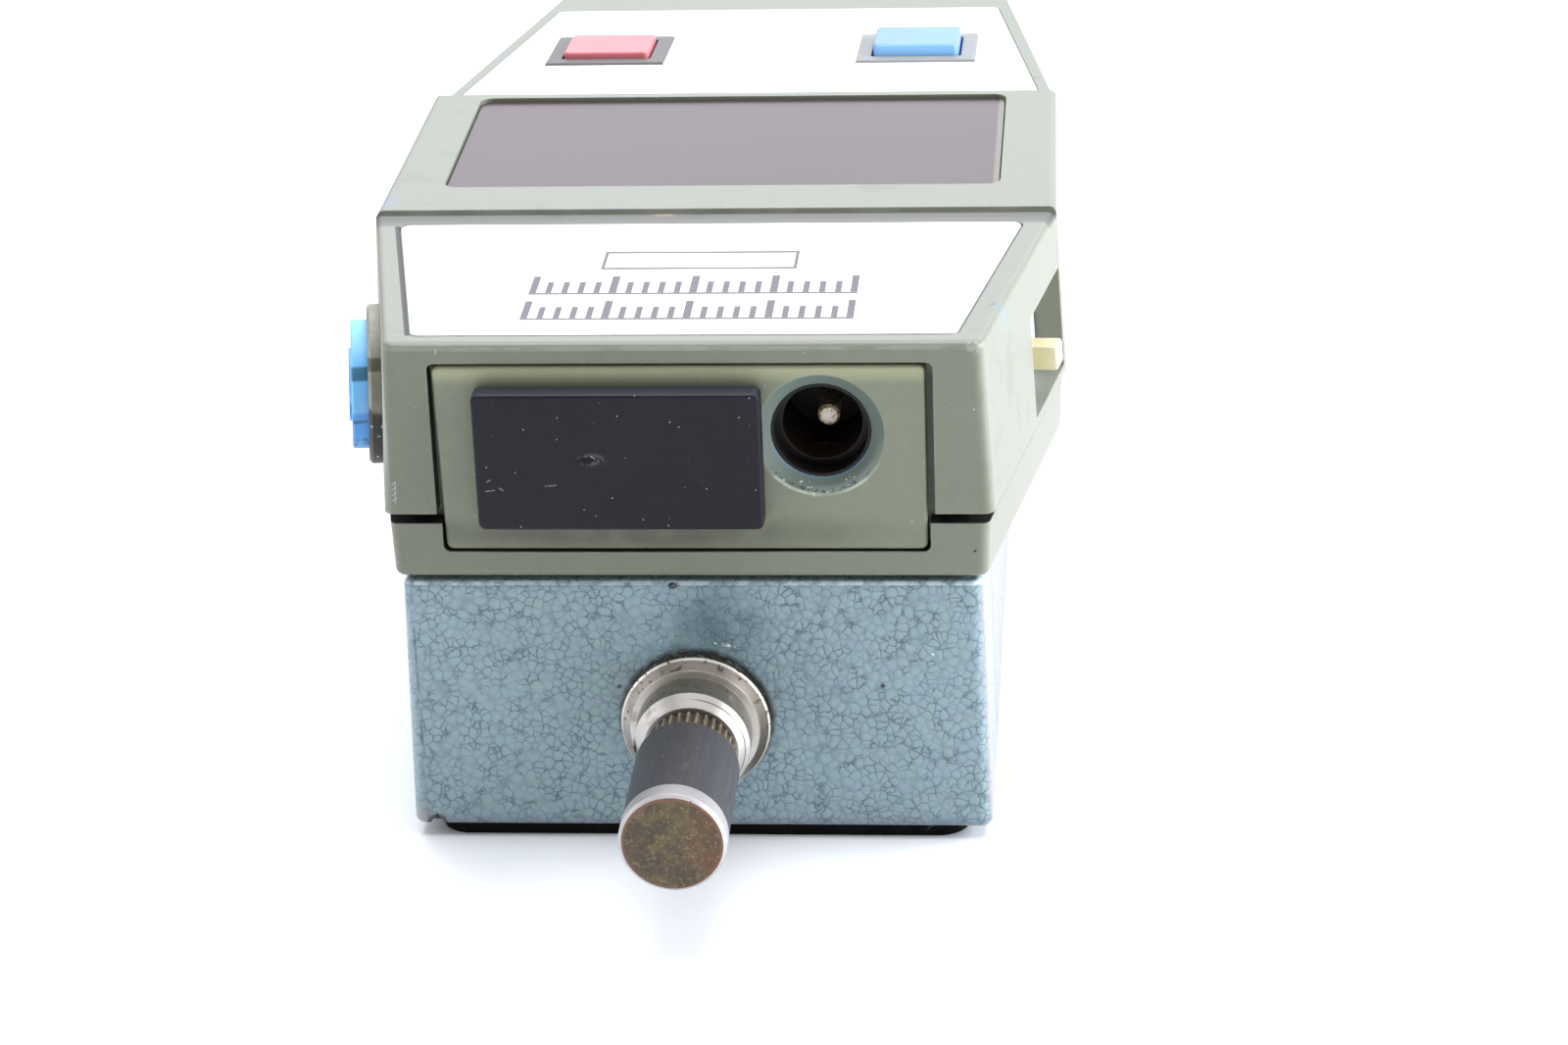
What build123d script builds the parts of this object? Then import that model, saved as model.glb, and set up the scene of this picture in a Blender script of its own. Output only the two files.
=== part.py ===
from build123d import *
import math
import os

# Digital dial indicator lying on its back: a painted metal gauge body with the stem and spindle,
# and on it a two-part plastic case with the connectors, the display window and the keys.
# Millimetres. The origin is on the stem axis, at the shoulder where the stem's collar starts.
# +Y runs from the contact back into the body, +X is to the right seen from the contact, +Z is up.

# Stem bush, from its front end back to the gauge body
nose_radius = 4.6
nose_length = 1.1
collar_radius = 5.65
collar_length = 3.3
shoulder_radius = 6.3
flange_cone = 1.0
flange_radius = 7.3
flange_rim = 1.3
shank_radius = 6.0
shank_fit = 0.02
spindle_radius = 3.0
spindle_clearance = 0.05
spindle_edge = 0.3

# Contact on the spindle's front end
contact_gap = 0.3
knurl_radius = 4.4
knurl_length = 3.1
knurl_depth = 0.3
knurl_teeth = 32
core_radius = 3.4
sleeve_radius = 5.0
sleeve_length = 12.8
sleeve_edge = 0.25
anvil_radius = 5.05
anvil_length = 2.2
anvil_edge = 0.38
stud_radius = 1.25
stud_length = 6.0
part_fit = 0.02

# How far cutting and joining forms reach past a face
cut_over = 1.0

# Share of a form's height that its upright edges rise over
upright_share = 0.9

# Gauge body, a casting open below and closed by the back plate
body_length = 110.0
body_half_top = 28.0
body_half_bottom = 28.64
body_top = 14.7
body_bottom = -11.92
body_corner = 1.2
body_edge = 0.7
front_wall = 15.0
rear_wall = 6.0
side_wall = 5.0
roof_wall = 3.6
cavity_corner = 4.0
joint_line_setback = 18.5
joint_line_width = 0.5
joint_line_depth = 0.3
seat_inset = 1.6
seat_height = 0.5
cover_boss_radius = 3.6
cover_boss_inset = 4.2
nick_offset = 26.3
nick_width = 1.7
nick_height = 1.4
nick_reach = 1.3

# Back plate and its screws
plate_side_inset = 2.4
plate_end_inset = 0.8
plate_thickness = 1.3
plate_corner = 3.0
plate_head_radius = 2.4
plate_head_height = 1.1
plate_head_sink = 0.1
plate_shank_radius = 1.2
plate_screw_length = 9.0

# Spindle guide and the measuring scale inside the body
stroke = 30.5
pedestal_front = 66.0
pedestal_length = 6.0
pedestal_right = 8.0
pedestal_left = 18.0
pedestal_drop = 9.0
rear_bush_radius = 4.6
rear_bush_lip = 0.8
rear_bush_lip_radius = 5.6
spindle_overrun = 3.0
nut_radius = 8.6
nut_length = 3.0
nut_slot = 1.6
rod_radius = 2.0
rod_offset = 14.0
rod_sink = 6.0
carrier_length = 7.0
carrier_rest_gap = 3.0
carrier_half_width = 7.0
carrier_half_height = 6.0
carrier_arm_height = 3.5
arm_top = -2.5
arm_bottom = -7.5
glass_side = 13.0
glass_thickness = 1.5
glass_bottom = -5.5
glass_height = 10.5
glass_length = 42.0
glass_lead = 7.0
ledge_reach = 1.2
head_gap = 0.3
head_leg = 2.4
head_outer_leg = 5.0
head_length = 9.0
head_setback = 1.0
head_leg_bottom = -1.0
head_screw_reach = 4.0
head_screw_shares = (0.25, 0.75)
small_screw_radius = 0.9
small_head_radius = 1.7
small_head_height = 1.1

# Plastic case, seen from above: narrow front, wide middle, tapering rear
case_length = 131.0
case_half_front = 28.15
case_half_shoulder = 34.66
case_half_hip = 34.2
case_half_rear = 26.8
shoulder_setback = 36.0
hip_setback = 73.7
case_top = 39.3
seam_top = 21.85
seam_gap = 1.0
upper_lean = 0.94
lower_spread = 0.48
lower_foot_spread = 0.29
case_wall = 2.2
lower_wall = 3.4
case_floor = 2.0
case_corner = 1.1
case_edge = 0.7
tongue_gap = 0.15
tongue_height = 2.0
case_boss_radius = 3.2
case_boss_meet = 22.5
case_screw_head_radius = 2.3
case_screw_head_height = 1.4
case_screw_radius = 1.1
case_screw_length = 12.0
case_boss_offset = 19.0
case_boss_front_setback = 21.7
case_boss_rear_inset = 11.3
mounting_screw_offset = 11.0
mounting_screw_front_setback = 21.0
mounting_screw_rear_inset = 10.5
mounting_screw_length = 6.5
groove_setback = 35.9
groove_width = 1.5
groove_depth = 0.7

# Front label plate
label_front_setback = 2.3
label_rear_setback = 32.2
label_margin_front = 2.8
label_margin_rear = 2.55
label_corner = 1.0
label_thickness = 0.35
label_gap = 0.2
label_proud = 0.05

# Display window, board and digits
window_front_setback = 43.8
window_rear_setback = 72.3
window_side_margin = 5.5
window_corner = 1.4
window_thickness = 1.0
window_sunk = 0.4
window_ledge = 2.0
window_gap = 0.15
ledge_thickness = 0.8
digit_count = 6
digit_pitch = 8.2
digit_width = 7.6
digit_length = 12.7
digit_height = 6.2
digit_headroom = 0.3
board_thickness = 1.6
display_board_reach = 2.3
display_post_radius = 1.8
display_post_reach = 0.6
display_post_inset = 3.2

# Key deck behind the window, with its plate, bezels and keys
deck_drop = 1.6
deck_slope = 5.0
step_lean = 0.4
key_plate_side_margin = 1.35
key_plate_front_margin = 2.2
key_plate_rear_margin = 8.6
key_plate_thickness = 0.5
key_plate_proud = 0.15
key_row_setback = 100.4
key_margin = 12.85
key_width = 9.8
key_length = 9.2
key_corner = 0.6
key_edge = 0.3
bezel_size = 13.6
bezel_proud = 0.3
bezel_edge = 0.15
key_gap = 0.25
blue_key_proud = 1.8
red_key_proud = 1.2
key_travel = 0.8
key_flange = 0.7
key_flange_reach = 0.8
key_switch_size = 6.0
key_switch_height = 3.4
key_board_depth = 9.6
key_board_margin = 4.35
key_board_length = 15.0
key_post_radius = 1.6
key_post_offset = 5.4

# Connector panel in the case's front
panel_margin_left = 4.4
panel_margin_right = 5.32
panel_margin_bottom = 0.85
panel_margin_top = 2.3
panel_taper = 0.35
panel_corner = 0.7
panel_edge = 0.35
panel_gap_left = 0.35
panel_gap_right = 0.75
panel_gap_low = 0.28
panel_gap_height = 0.35
panel_sunk = 0.2
panel_thickness = 2.5
panel_flange = 1.2
panel_flange_reach = 1.3

# Output connector and its rubber cap
mouth_margin_left = 17.595
mouth_margin_bottom = 10.05
cap_width = 27.25
cap_height = 13.9
cap_thickness = 2.1
cap_corner = 0.7
cap_edge = 0.35
cap_clearance = 0.3
mouth_width = 21.4
mouth_height = 8.4
mouth_depth = 6.0
connector_wall = 1.6
connector_base = 3.0
skirt_gap = 0.3
skirt_wall = 1.3
skirt_length = 6.2
pin_columns = 5
pin_rows = 2
pin_pitch = 2.54
pin_size = 0.64
pin_length = 3.6

# Supply jack
jack_margin_right = 9.93
jack_margin_top = 7.0
dish_radius = 6.05
dish_depth = 1.0
jack_nose_radius = 4.75
jack_entry_radius = 4.45
jack_entry_depth = 3.2
jack_bore_radius = 3.8
jack_bore_depth = 11.5
jack_pin_radius = 1.05
jack_pin_depth = 4.6
jack_pin_offset = 0.5
jack_pin_edge = 0.26
jack_half = 5.9
jack_base = 1.5
jack_spring_width = 2.4
jack_spring_thickness = 0.4
jack_spring_depth = 6.5

# Slide switch in the pocket of the right flared wall
pocket_front_setback = 21.0
pocket_rear_setback = 35.4
pocket_over_seam = 0.85
pocket_height = 10.6
pocket_depth = 3.0
pocket_wall = 1.0
pocket_label_thickness = 0.2
knob_setback = 27.0
knob_over_seam = 5.35
knob_length = 2.6
knob_tall = 2.4
knob_proud = 1.5
knob_edge = 0.4
knob_travel = 4.0
knob_gap = 0.3
switch_length = 13.0
switch_tall = 6.6
switch_depth = 4.4

# Round push button in the ring on the left flared wall
ring_setback = 13.3
ring_over_seam = 8.05
ring_radius = 7.8
ring_proud = 1.3
ring_edge = 0.3
button_radius = 6.3
button_gap = 0.15
button_proud = 2.9
button_crown_radius = 3.6
button_crown = 0.25
button_travel = 1.0
neck_radius = 6.9
neck_short = 0.3
side_switch_half = 7.1
side_switch_depth = 5.2

# Boards and parts inside the case
board_lift = 2.0
main_board_half = 25.0
main_board_front_setback = 28.0
main_board_rear_inset = 18.5
board_post_radius = 2.5
board_post_offset = 20.0
board_post_inset = 5.0
chip_count = 3
chip_width = 7.6
chip_length = 19.0
chip_height = 3.6
chip_edge = 0.45
chip_pitch = 14.0
chip_row_setback = 72.0
capacitor_radius = 4.5
capacitor_length = 20.0
capacitor_edge = 0.45
capacitor_setback = 36.0

# Places that follow from the sizes above
block_front = flange_cone + flange_rim
block_rear = block_front + body_length
cavity_front = block_front + front_wall
cavity_rear = block_rear - rear_wall
cavity_roof = body_top - roof_wall
cavity_half = body_half_top - side_wall
case_front = block_front
case_rear = case_front + case_length
shoulder_y = case_front + shoulder_setback
hip_y = case_front + hip_setback
case_foot = body_top + seat_height
floor_top = case_foot + case_floor
seam_bottom = seam_top - seam_gap
tongue_inset = case_wall + tongue_gap
ceiling = case_top - case_wall
contact_back = -collar_length - nose_length - contact_gap
sleeve_back = contact_back - knurl_length
anvil_back = sleeve_back - sleeve_length
contact_tip = anvil_back - anvil_length
plate_bottom = body_bottom - plate_thickness
spindle_rear = pedestal_front + pedestal_length + stroke + spindle_overrun - rear_bush_lip
carrier_front = pedestal_front - carrier_rest_gap - carrier_length
panel_face = case_front + panel_sunk
panel_back = panel_face + panel_thickness
wall_inner = case_front + case_wall
key_row_y = case_front + key_row_setback
window_half = case_half_hip - window_side_margin
display_board_half = window_half + display_board_reach
display_post_offset = window_half + display_post_reach
panel_left = -case_half_front + panel_margin_left
panel_right = case_half_front - panel_margin_right
panel_bottom = floor_top + panel_margin_bottom
panel_top = case_top - panel_margin_top
jack_x = panel_right - jack_margin_right
jack_z = panel_top - jack_margin_top
pocket_bottom = seam_top + pocket_over_seam
knob_height = seam_top + knob_over_seam
ring_height = seam_top + ring_over_seam
board_bottom = floor_top + board_lift
board_top = board_bottom + board_thickness
main_board_front = case_front + main_board_front_setback
main_board_rear = case_rear - main_board_rear_inset
digit_top = case_top - window_sunk - window_thickness - ledge_thickness - digit_headroom
display_board_top = digit_top - digit_height
window_front = case_front + window_front_setback
window_rear = case_front + window_rear_setback
mouth_x = panel_left + mouth_margin_left
mouth_z = panel_bottom + mouth_margin_bottom
flare_angle = math.atan2(case_half_shoulder - case_half_front, shoulder_setback)
lean_rate = upper_lean / (case_top - seam_top)


def block(x0, x1, y0, y1, z0, z1):
    """A box between two corners."""
    middle = Pos((x0 + x1) / 2, (y0 + y1) / 2, (z0 + z1) / 2)
    return middle * Box(x1 - x0, y1 - y0, z1 - z0)


def rod_y(radius, start, end, x=0.0, z=0.0):
    """A round bar along Y."""
    return Pos(x, (start + end) / 2, z) * Rot(90, 0, 0) * Cylinder(radius, end - start)


def rod_z(radius, start, end, x=0.0, y=0.0):
    """A round bar along Z."""
    return Pos(x, y, (start + end) / 2) * Cylinder(radius, end - start)


def turned(points):
    """A turned piece on the stem axis, from (radius, y) points."""
    return revolve(make_face(Polyline(*points, close=True)), Axis.Y)


def knurled(radius, depth, teeth):
    """Outline of a straight knurl with pointed teeth."""
    points = []
    for step in range(2 * teeth):
        reach = radius if step % 2 == 0 else radius - depth
        angle = math.pi * step / teeth
        points.append((reach * math.cos(angle), reach * math.sin(angle)))
    return make_face(Polyline(*points, close=True))


def four_corners(half, front, rear):
    """Points left and right of the middle, at the front and at the rear."""
    return [(side * half, y) for side in (-1, 1) for y in (front, rear)]


def pan_screw(head_radius, head_height, radius, length):
    """A screw pointing down, with the underside of its head at the origin."""
    return rod_z(head_radius, 0, head_height) + rod_z(radius, -length, 0)


def deck_height(y):
    """Height of the key deck's surface at y."""
    return case_top - deck_drop - (y - hip_y) * math.tan(math.radians(deck_slope))


def case_half(y):
    """Half width of the case's top edge at y."""
    if y < shoulder_y:
        share = (y - case_front) / shoulder_setback
        return case_half_front + (case_half_shoulder - case_half_front) * share
    if y < hip_y:
        share = (y - shoulder_y) / (hip_y - shoulder_y)
        return case_half_shoulder + (case_half_hip - case_half_shoulder) * share
    share = (y - hip_y) / (case_rear - hip_y)
    return case_half_hip + (case_half_rear - case_half_hip) * share


def case_plan(spread, inset=0.0):
    """Plan of the case, with its sides spread outwards and the whole outline inset."""
    stations = (case_front, shoulder_y, hip_y, case_rear)
    right = [(case_half(y) + spread, y) for y in stations]
    left = [(-x, y) for x, y in reversed(right)]
    plan = make_face(Polyline(*right, *left, close=True))
    if inset:
        plan = offset(plan, -inset, kind=Kind.INTERSECTION)
    return plan


def case_solid(bottom, top, spread_bottom, spread_top, inset=0.0):
    """The case's plan drawn up from one height to another, its sides leaning evenly."""
    foot = Pos(0, 0, bottom) * case_plan(spread_bottom, inset)
    head = Pos(0, 0, top) * case_plan(spread_top, inset)
    return loft([foot.face(), head.face()], ruled=True)


def upright_edges(solid):
    """Edges that rise over most of the solid's height."""
    least = upright_share * solid.bounding_box().size.Z
    return [e for e in solid.edges() if e.bounding_box().size.Z > least]


def above_deck(drop):
    """All that lies over the key deck once its surface is lowered by drop."""
    step = hip_y - drop
    over = case_top + case_wall
    behind = case_rear + case_wall
    outline = Polyline(
        (step, over),
        (step, case_top),
        (step + step_lean, deck_height(step + step_lean) - drop),
        (behind, deck_height(behind) - drop),
        (behind, over),
        close=True,
    )
    profile = Plane.YZ * make_face(outline)
    return extrude(profile, amount=2 * case_half_shoulder, both=True)


def deck_frame():
    """Frame on the deck's surface at the row of keys, with Z out of the deck."""
    lean = math.radians(deck_slope)
    normal = (0, math.sin(lean), math.cos(lean))
    return Plane(origin=(0, key_row_y, deck_height(key_row_y)), x_dir=(1, 0, 0), z_dir=normal)


def wall_frame(y, z):
    """Frame on the right flared wall, with X along it to the rear, Y up it and Z out of it."""
    along = Vector(math.sin(flare_angle), math.cos(flare_angle), 0)
    up = Vector(-lean_rate, 0, 1)
    half = case_half(y) + (case_top - z) * lean_rate
    return Plane(origin=(half, y, z), x_dir=along, z_dir=along.cross(up))


deck = deck_frame()
pocket_wall_frame = wall_frame(case_front + knob_setback, knob_height)
button_wall_frame = wall_frame(case_front + ring_setback, ring_height)
cover_boss_points = four_corners(
    cavity_half - cover_boss_inset,
    cavity_front + cover_boss_inset,
    cavity_rear - cover_boss_inset,
)
mounting_points = four_corners(
    mounting_screw_offset,
    block_front + mounting_screw_front_setback,
    block_rear - mounting_screw_rear_inset,
)
case_boss_points = four_corners(
    case_boss_offset,
    case_front + case_boss_front_setback,
    case_rear - case_boss_rear_inset,
)
board_post_points = four_corners(
    board_post_offset,
    main_board_front + board_post_inset,
    main_board_rear - board_post_inset,
)
display_post_points = four_corners(
    display_post_offset,
    window_front + display_post_inset,
    window_rear - display_post_inset,
)
key_board_half = case_half(key_row_y) - key_board_margin
key_post_points = [(side * (key_board_half - key_post_radius / 2), 0) for side in (-1, 1)]
key_post_points += [(0, side * key_post_offset) for side in (-1, 1)]
key_offset = case_half(key_row_y) - key_margin
key_places = [deck * Pos(side * key_offset, 0, 0) for side in (-1, 1)]


def make_gauge_body():
    """Casting with a cavity below, bosses, a pedestal for the rear bush and a raised case seat."""
    section = Polyline(
        (-body_half_bottom, body_bottom),
        (body_half_bottom, body_bottom),
        (body_half_top, body_top),
        (-body_half_top, body_top),
        close=True,
    )
    body = extrude(Plane.XZ.offset(-block_front) * make_face(section), amount=-body_length)
    body = fillet(upright_edges(body), body_corner)
    rims = body.faces().sort_by(Axis.Z)
    body = fillet(rims[-1].edges() + rims[0].edges(), body_edge)
    seat = block(
        -body_half_top + seat_inset,
        body_half_top - seat_inset,
        block_front + seat_inset,
        block_rear - seat_inset,
        body_top - roof_wall / 2,
        case_foot,
    )
    body += seat
    cavity = block(
        -cavity_half, cavity_half, cavity_front, cavity_rear, body_bottom - cut_over, cavity_roof
    )
    cavity = fillet(cavity.edges().filter_by(Axis.Z), cavity_corner)
    body -= cavity
    for x, y in cover_boss_points:
        body += rod_z(cover_boss_radius, body_bottom, cavity_roof + cut_over, x, y)
    body += block(
        -pedestal_left,
        pedestal_right,
        pedestal_front,
        pedestal_front + pedestal_length,
        -pedestal_drop,
        cavity_roof + cut_over,
    )
    for x, y in cover_boss_points:
        deep = plate_bottom + plate_screw_length
        body -= rod_z(plate_shank_radius + part_fit, body_bottom - cut_over, deep, x, y)
    for x, y in mounting_points:
        body -= rod_z(case_screw_radius + part_fit, cavity_roof - cut_over, case_foot + cut_over, x, y)
    past_pedestal = pedestal_front + pedestal_length + cut_over
    body -= rod_y(shank_radius + shank_fit, block_front - cut_over, cavity_front + cut_over)
    body -= rod_y(rear_bush_radius + part_fit, pedestal_front - cut_over, past_pedestal)
    body -= rod_y(rod_radius + part_fit, cavity_front - rod_sink, past_pedestal, -rod_offset)
    for line in joint_lines():
        body -= line
    body -= edge_nick()
    for x, y in head_screw_places():
        low = cavity_roof - head_screw_reach
        body -= rod_z(small_screw_radius + part_fit, low, case_foot + cut_over, x, y)
    return body


def joint_lines():
    """Bars that cut the upright joint line into both leaning sides of the body."""
    half = (body_half_top + body_half_bottom) / 2
    y = block_front + joint_line_setback + joint_line_width / 2
    z = (body_top + body_bottom) / 2
    lean = math.degrees(math.atan2(body_half_bottom - body_half_top, body_top - body_bottom))
    bar = Box(2 * joint_line_depth, joint_line_width, 2 * (body_top - body_bottom))
    return [Pos(side * half, y, z) * Rot(0, -side * lean, 0) * bar for side in (-1, 1)]


def edge_nick():
    """Pointed nick broken out of the front's lower edge, near its left corner."""
    outline = Polyline(
        (-nick_offset - nick_width / 2, body_bottom),
        (-nick_offset, body_bottom + nick_height),
        (-nick_offset + nick_width / 2, body_bottom),
        (-nick_offset, body_bottom - nick_height),
        close=True,
    )
    return extrude(Plane.XZ.offset(-block_front) * make_face(outline), amount=nick_reach, both=True)


def make_back_plate():
    """Flat cover with countersunk holes, which the instrument lies on."""
    half = body_half_bottom - plate_side_inset
    front = block_front + plate_end_inset
    plate = block(-half, half, front, block_rear - plate_end_inset, plate_bottom, body_bottom)
    plate = fillet(plate.edges().filter_by(Axis.Z), plate_corner)
    for x, y in cover_boss_points:
        sink = rod_z(plate_head_radius + part_fit, -cut_over, plate_head_sink)
        plate -= Pos(x, y, plate_bottom) * (plate_screw_form(part_fit) + sink)
    return plate


def plate_screw_form(grow):
    """Countersunk screw pointing up from the plate's underside, grown by a clearance."""
    middle = plate_head_sink + plate_head_height / 2
    head = Cone(plate_head_radius + grow, plate_shank_radius + grow, plate_head_height)
    shank = rod_z(plate_shank_radius + grow, plate_head_sink, plate_screw_length)
    return Pos(0, 0, middle) * head + shank


def make_back_plate_screws():
    screws = [Pos(x, y, plate_bottom) * plate_screw_form(0) for x, y in cover_boss_points]
    return Compound(children=screws)


def make_stem_bush():
    """Flanged bush with the collar and chamfered nose, bored for the spindle."""
    bore = spindle_radius + spindle_clearance
    rear = cavity_front + nut_length
    return turned(
        [
            (bore, -collar_length - nose_length),
            (nose_radius, -collar_length - nose_length),
            (collar_radius, -collar_length),
            (collar_radius, 0),
            (shoulder_radius, 0),
            (flange_radius, flange_cone),
            (flange_radius, block_front),
            (shank_radius, block_front),
            (shank_radius, rear),
            (bore, rear),
        ]
    )


def make_stem_nut():
    """Slotted ring nut that holds the bush from inside the body."""
    nut = rod_y(nut_radius, cavity_front, cavity_front + nut_length)
    nut -= rod_y(shank_radius + part_fit, cavity_front - cut_over, cavity_front + nut_length + cut_over)
    for side in (-1, 1):
        middle = Pos(0, cavity_front + nut_length, side * nut_radius)
        nut -= middle * Box(nut_slot, nut_slot, nut_slot)
    return nut


def make_rear_bush():
    """Bush for the spindle's rear, pushed into the pedestal up to its lip."""
    bore = spindle_radius + spindle_clearance
    front = pedestal_front - rear_bush_lip
    rear = pedestal_front + pedestal_length
    return turned(
        [
            (bore, front),
            (rear_bush_lip_radius, front),
            (rear_bush_lip_radius, pedestal_front),
            (rear_bush_radius, pedestal_front),
            (rear_bush_radius, rear),
            (bore, rear),
        ]
    )


def make_guide_rod():
    return rod_y(rod_radius, cavity_front - rod_sink, pedestal_front + pedestal_length, -rod_offset)


def make_spindle():
    """Ground spindle with a threaded stud for the contact."""
    spindle = rod_y(spindle_radius, contact_back, spindle_rear)
    spindle = chamfer(spindle.edges().sort_by(Axis.Y)[-1], spindle_edge)
    return spindle + rod_y(stud_radius, contact_back - stud_length, contact_back)


def make_contact_base():
    """Knurled grip with a plain core that the sleeve is pressed over."""
    ring = Plane.XZ.offset(-contact_back) * knurled(knurl_radius, knurl_depth, knurl_teeth)
    grip = extrude(ring, amount=knurl_length)
    grip += rod_y(core_radius, anvil_back, sleeve_back)
    deep = contact_back - stud_length - part_fit
    return grip - rod_y(stud_radius + part_fit, deep, contact_back + cut_over)


def make_contact_sleeve():
    """Black sleeve round the contact's core."""
    bore = core_radius + part_fit
    return turned(
        [
            (bore, anvil_back),
            (sleeve_radius, anvil_back),
            (sleeve_radius, sleeve_back - sleeve_edge),
            (sleeve_radius - sleeve_edge, sleeve_back),
            (bore, sleeve_back),
        ]
    )


def make_contact_anvil():
    """Flat steel anvil with a turned edge round its worn face."""
    return turned(
        [
            (0, contact_tip),
            (anvil_radius - anvil_edge, contact_tip),
            (anvil_radius, contact_tip + anvil_edge),
            (anvil_radius, anvil_back),
            (0, anvil_back),
        ]
    )


def make_scale_carrier():
    """Block on the spindle, with a guided arm on the left and the scale's ledge on the right."""
    rear = carrier_front + carrier_length
    carrier = block(
        -carrier_half_width,
        carrier_half_width,
        carrier_front,
        rear,
        -carrier_half_height,
        carrier_half_height,
    )
    carrier += block(
        -rod_offset - carrier_arm_height, 0, carrier_front, rear, -carrier_arm_height, carrier_arm_height
    )
    glass_outer = glass_side + glass_thickness
    carrier += block(0, glass_side, carrier_front, rear, arm_bottom, arm_top)
    carrier += block(0, glass_outer + ledge_reach, carrier_front, rear, arm_bottom, glass_bottom)
    before = carrier_front - cut_over
    carrier -= rod_y(spindle_radius + part_fit, before, rear + cut_over)
    carrier -= rod_y(rod_radius + spindle_clearance, before, rear + cut_over, -rod_offset)
    middle = carrier_front + carrier_length / 2
    carrier -= rod_z(small_screw_radius + part_fit, 0, carrier_half_height + cut_over, 0, middle)
    return carrier


def make_carrier_screw():
    """Grub screw that clamps the carrier on the spindle."""
    middle = carrier_front + carrier_length / 2
    low = spindle_radius + part_fit
    return rod_z(small_screw_radius, low, carrier_half_height, 0, middle)


def glass_front():
    """Front end of the glass scale, which starts in front of the reading head."""
    return carrier_front - glass_lead


def make_glass_scale():
    return block(
        glass_side,
        glass_side + glass_thickness,
        glass_front(),
        glass_front() + glass_length,
        glass_bottom,
        glass_bottom + glass_height,
    )


def head_front():
    return glass_front() + head_setback


def head_sides():
    """Left and right face of the reading head, which straddles the glass."""
    left = glass_side - head_gap - head_leg
    right = glass_side + glass_thickness + head_gap + head_outer_leg
    return left, right


def head_screw_places():
    """Places of the reading head's two screws, which run into its solid outer leg."""
    left, right = head_sides()
    x = (left + right) / 2 + glass_thickness
    return [(x, head_front() + share * head_length) for share in head_screw_shares]


def make_reading_head():
    """Fixed block over the glass, with a lamp leg inside and a sensor leg outside it."""
    left, right = head_sides()
    front = head_front()
    head = block(left, right, front, front + head_length, head_leg_bottom, cavity_roof)
    glass_top = glass_bottom + glass_height
    head -= block(
        glass_side - head_gap,
        glass_side + glass_thickness + head_gap,
        front - cut_over,
        front + head_length + cut_over,
        head_leg_bottom - cut_over,
        glass_top + head_gap,
    )
    for x, y in head_screw_places():
        low = cavity_roof - head_screw_reach
        head -= rod_z(small_screw_radius + part_fit, low, cavity_roof + cut_over, x, y)
    return head


def make_stack(places, piece):
    """Like pieces at several places, as separate solids of one group."""
    return Compound(children=[place * piece for place in places])


def make_lower_case():
    """Tray on the gauge body, with a tongue inside the seam, bosses and board posts."""
    tray = case_solid(case_foot, seam_bottom, lower_foot_spread, lower_spread)
    tray = fillet(upright_edges(tray), case_corner)
    tray = fillet(tray.faces().sort_by(Axis.Z)[0].edges(), case_edge)
    tray -= case_solid(floor_top, seam_top, lower_spread, lower_spread, lower_wall)
    tongue_top = seam_top + tongue_height
    tongue_low = seam_bottom - cut_over
    tongue = case_solid(tongue_low, tongue_top, lower_spread, lower_spread, tongue_inset)
    tongue -= case_solid(
        tongue_low - cut_over, tongue_top + cut_over, lower_spread, lower_spread, lower_wall
    )
    tray += tongue
    for x, y in case_boss_points:
        tray += rod_z(case_boss_radius, floor_top - cut_over, case_boss_meet, x, y)
    for x, y in board_post_points:
        tray += rod_z(board_post_radius, floor_top - cut_over, board_bottom, x, y)
    for x, y in case_boss_points:
        below = case_foot - cut_over
        seat = case_foot + case_screw_head_height
        tray -= rod_z(case_screw_radius + part_fit, below, case_boss_meet + cut_over, x, y)
        tray -= rod_z(case_screw_head_radius + part_fit, below, seat, x, y)
    for x, y in mounting_points:
        tray -= rod_z(case_screw_radius + part_fit, case_foot - cut_over, floor_top + cut_over, x, y)
    for x, y in board_post_points:
        tray -= rod_z(small_screw_radius + part_fit, floor_top, board_bottom + cut_over, x, y)
    tray -= panel_opening(panel_left + panel_taper - panel_gap_low, panel_right + panel_gap_low)
    tray -= panel_back_room()
    beside = pocket_wall + case_wall
    tray -= tongue_notch(
        1,
        case_front + pocket_front_setback - beside,
        case_front + pocket_rear_setback + beside,
        seam_top - tongue_gap,
    )
    tray -= tongue_notch(
        -1,
        case_front + ring_setback - side_switch_half - case_wall,
        case_front + ring_setback + side_switch_half + case_wall,
        ring_height - side_switch_half - 2 * tongue_gap,
    )
    return tray


def panel_opening(left, right):
    """Opening in the case's front for the connector panel, between two sides."""
    opening = block(
        left,
        right,
        case_front - cut_over,
        wall_inner + lower_wall,
        panel_bottom - panel_gap_height / 2,
        panel_top + panel_gap_height,
    )
    return fillet(opening.edges().filter_by(Axis.Y), panel_corner)


def panel_back_room():
    """Room behind the case's front wall for the panel's flange."""
    reach = panel_flange_reach + panel_gap_right
    return block(
        panel_left - reach,
        panel_right + reach,
        wall_inner,
        wall_inner + lower_wall,
        floor_top,
        panel_top + reach,
    )


def tongue_notch(side, front, rear, low):
    """Cut in the tongue on one side for what stands behind the upper case's wall."""
    inner = side * (case_boss_offset + case_boss_radius + tongue_gap)
    outer = side * (case_half_shoulder + upper_lean)
    return block(min(inner, outer), max(inner, outer), front, rear, low, seam_top + 2 * tongue_height)


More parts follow.
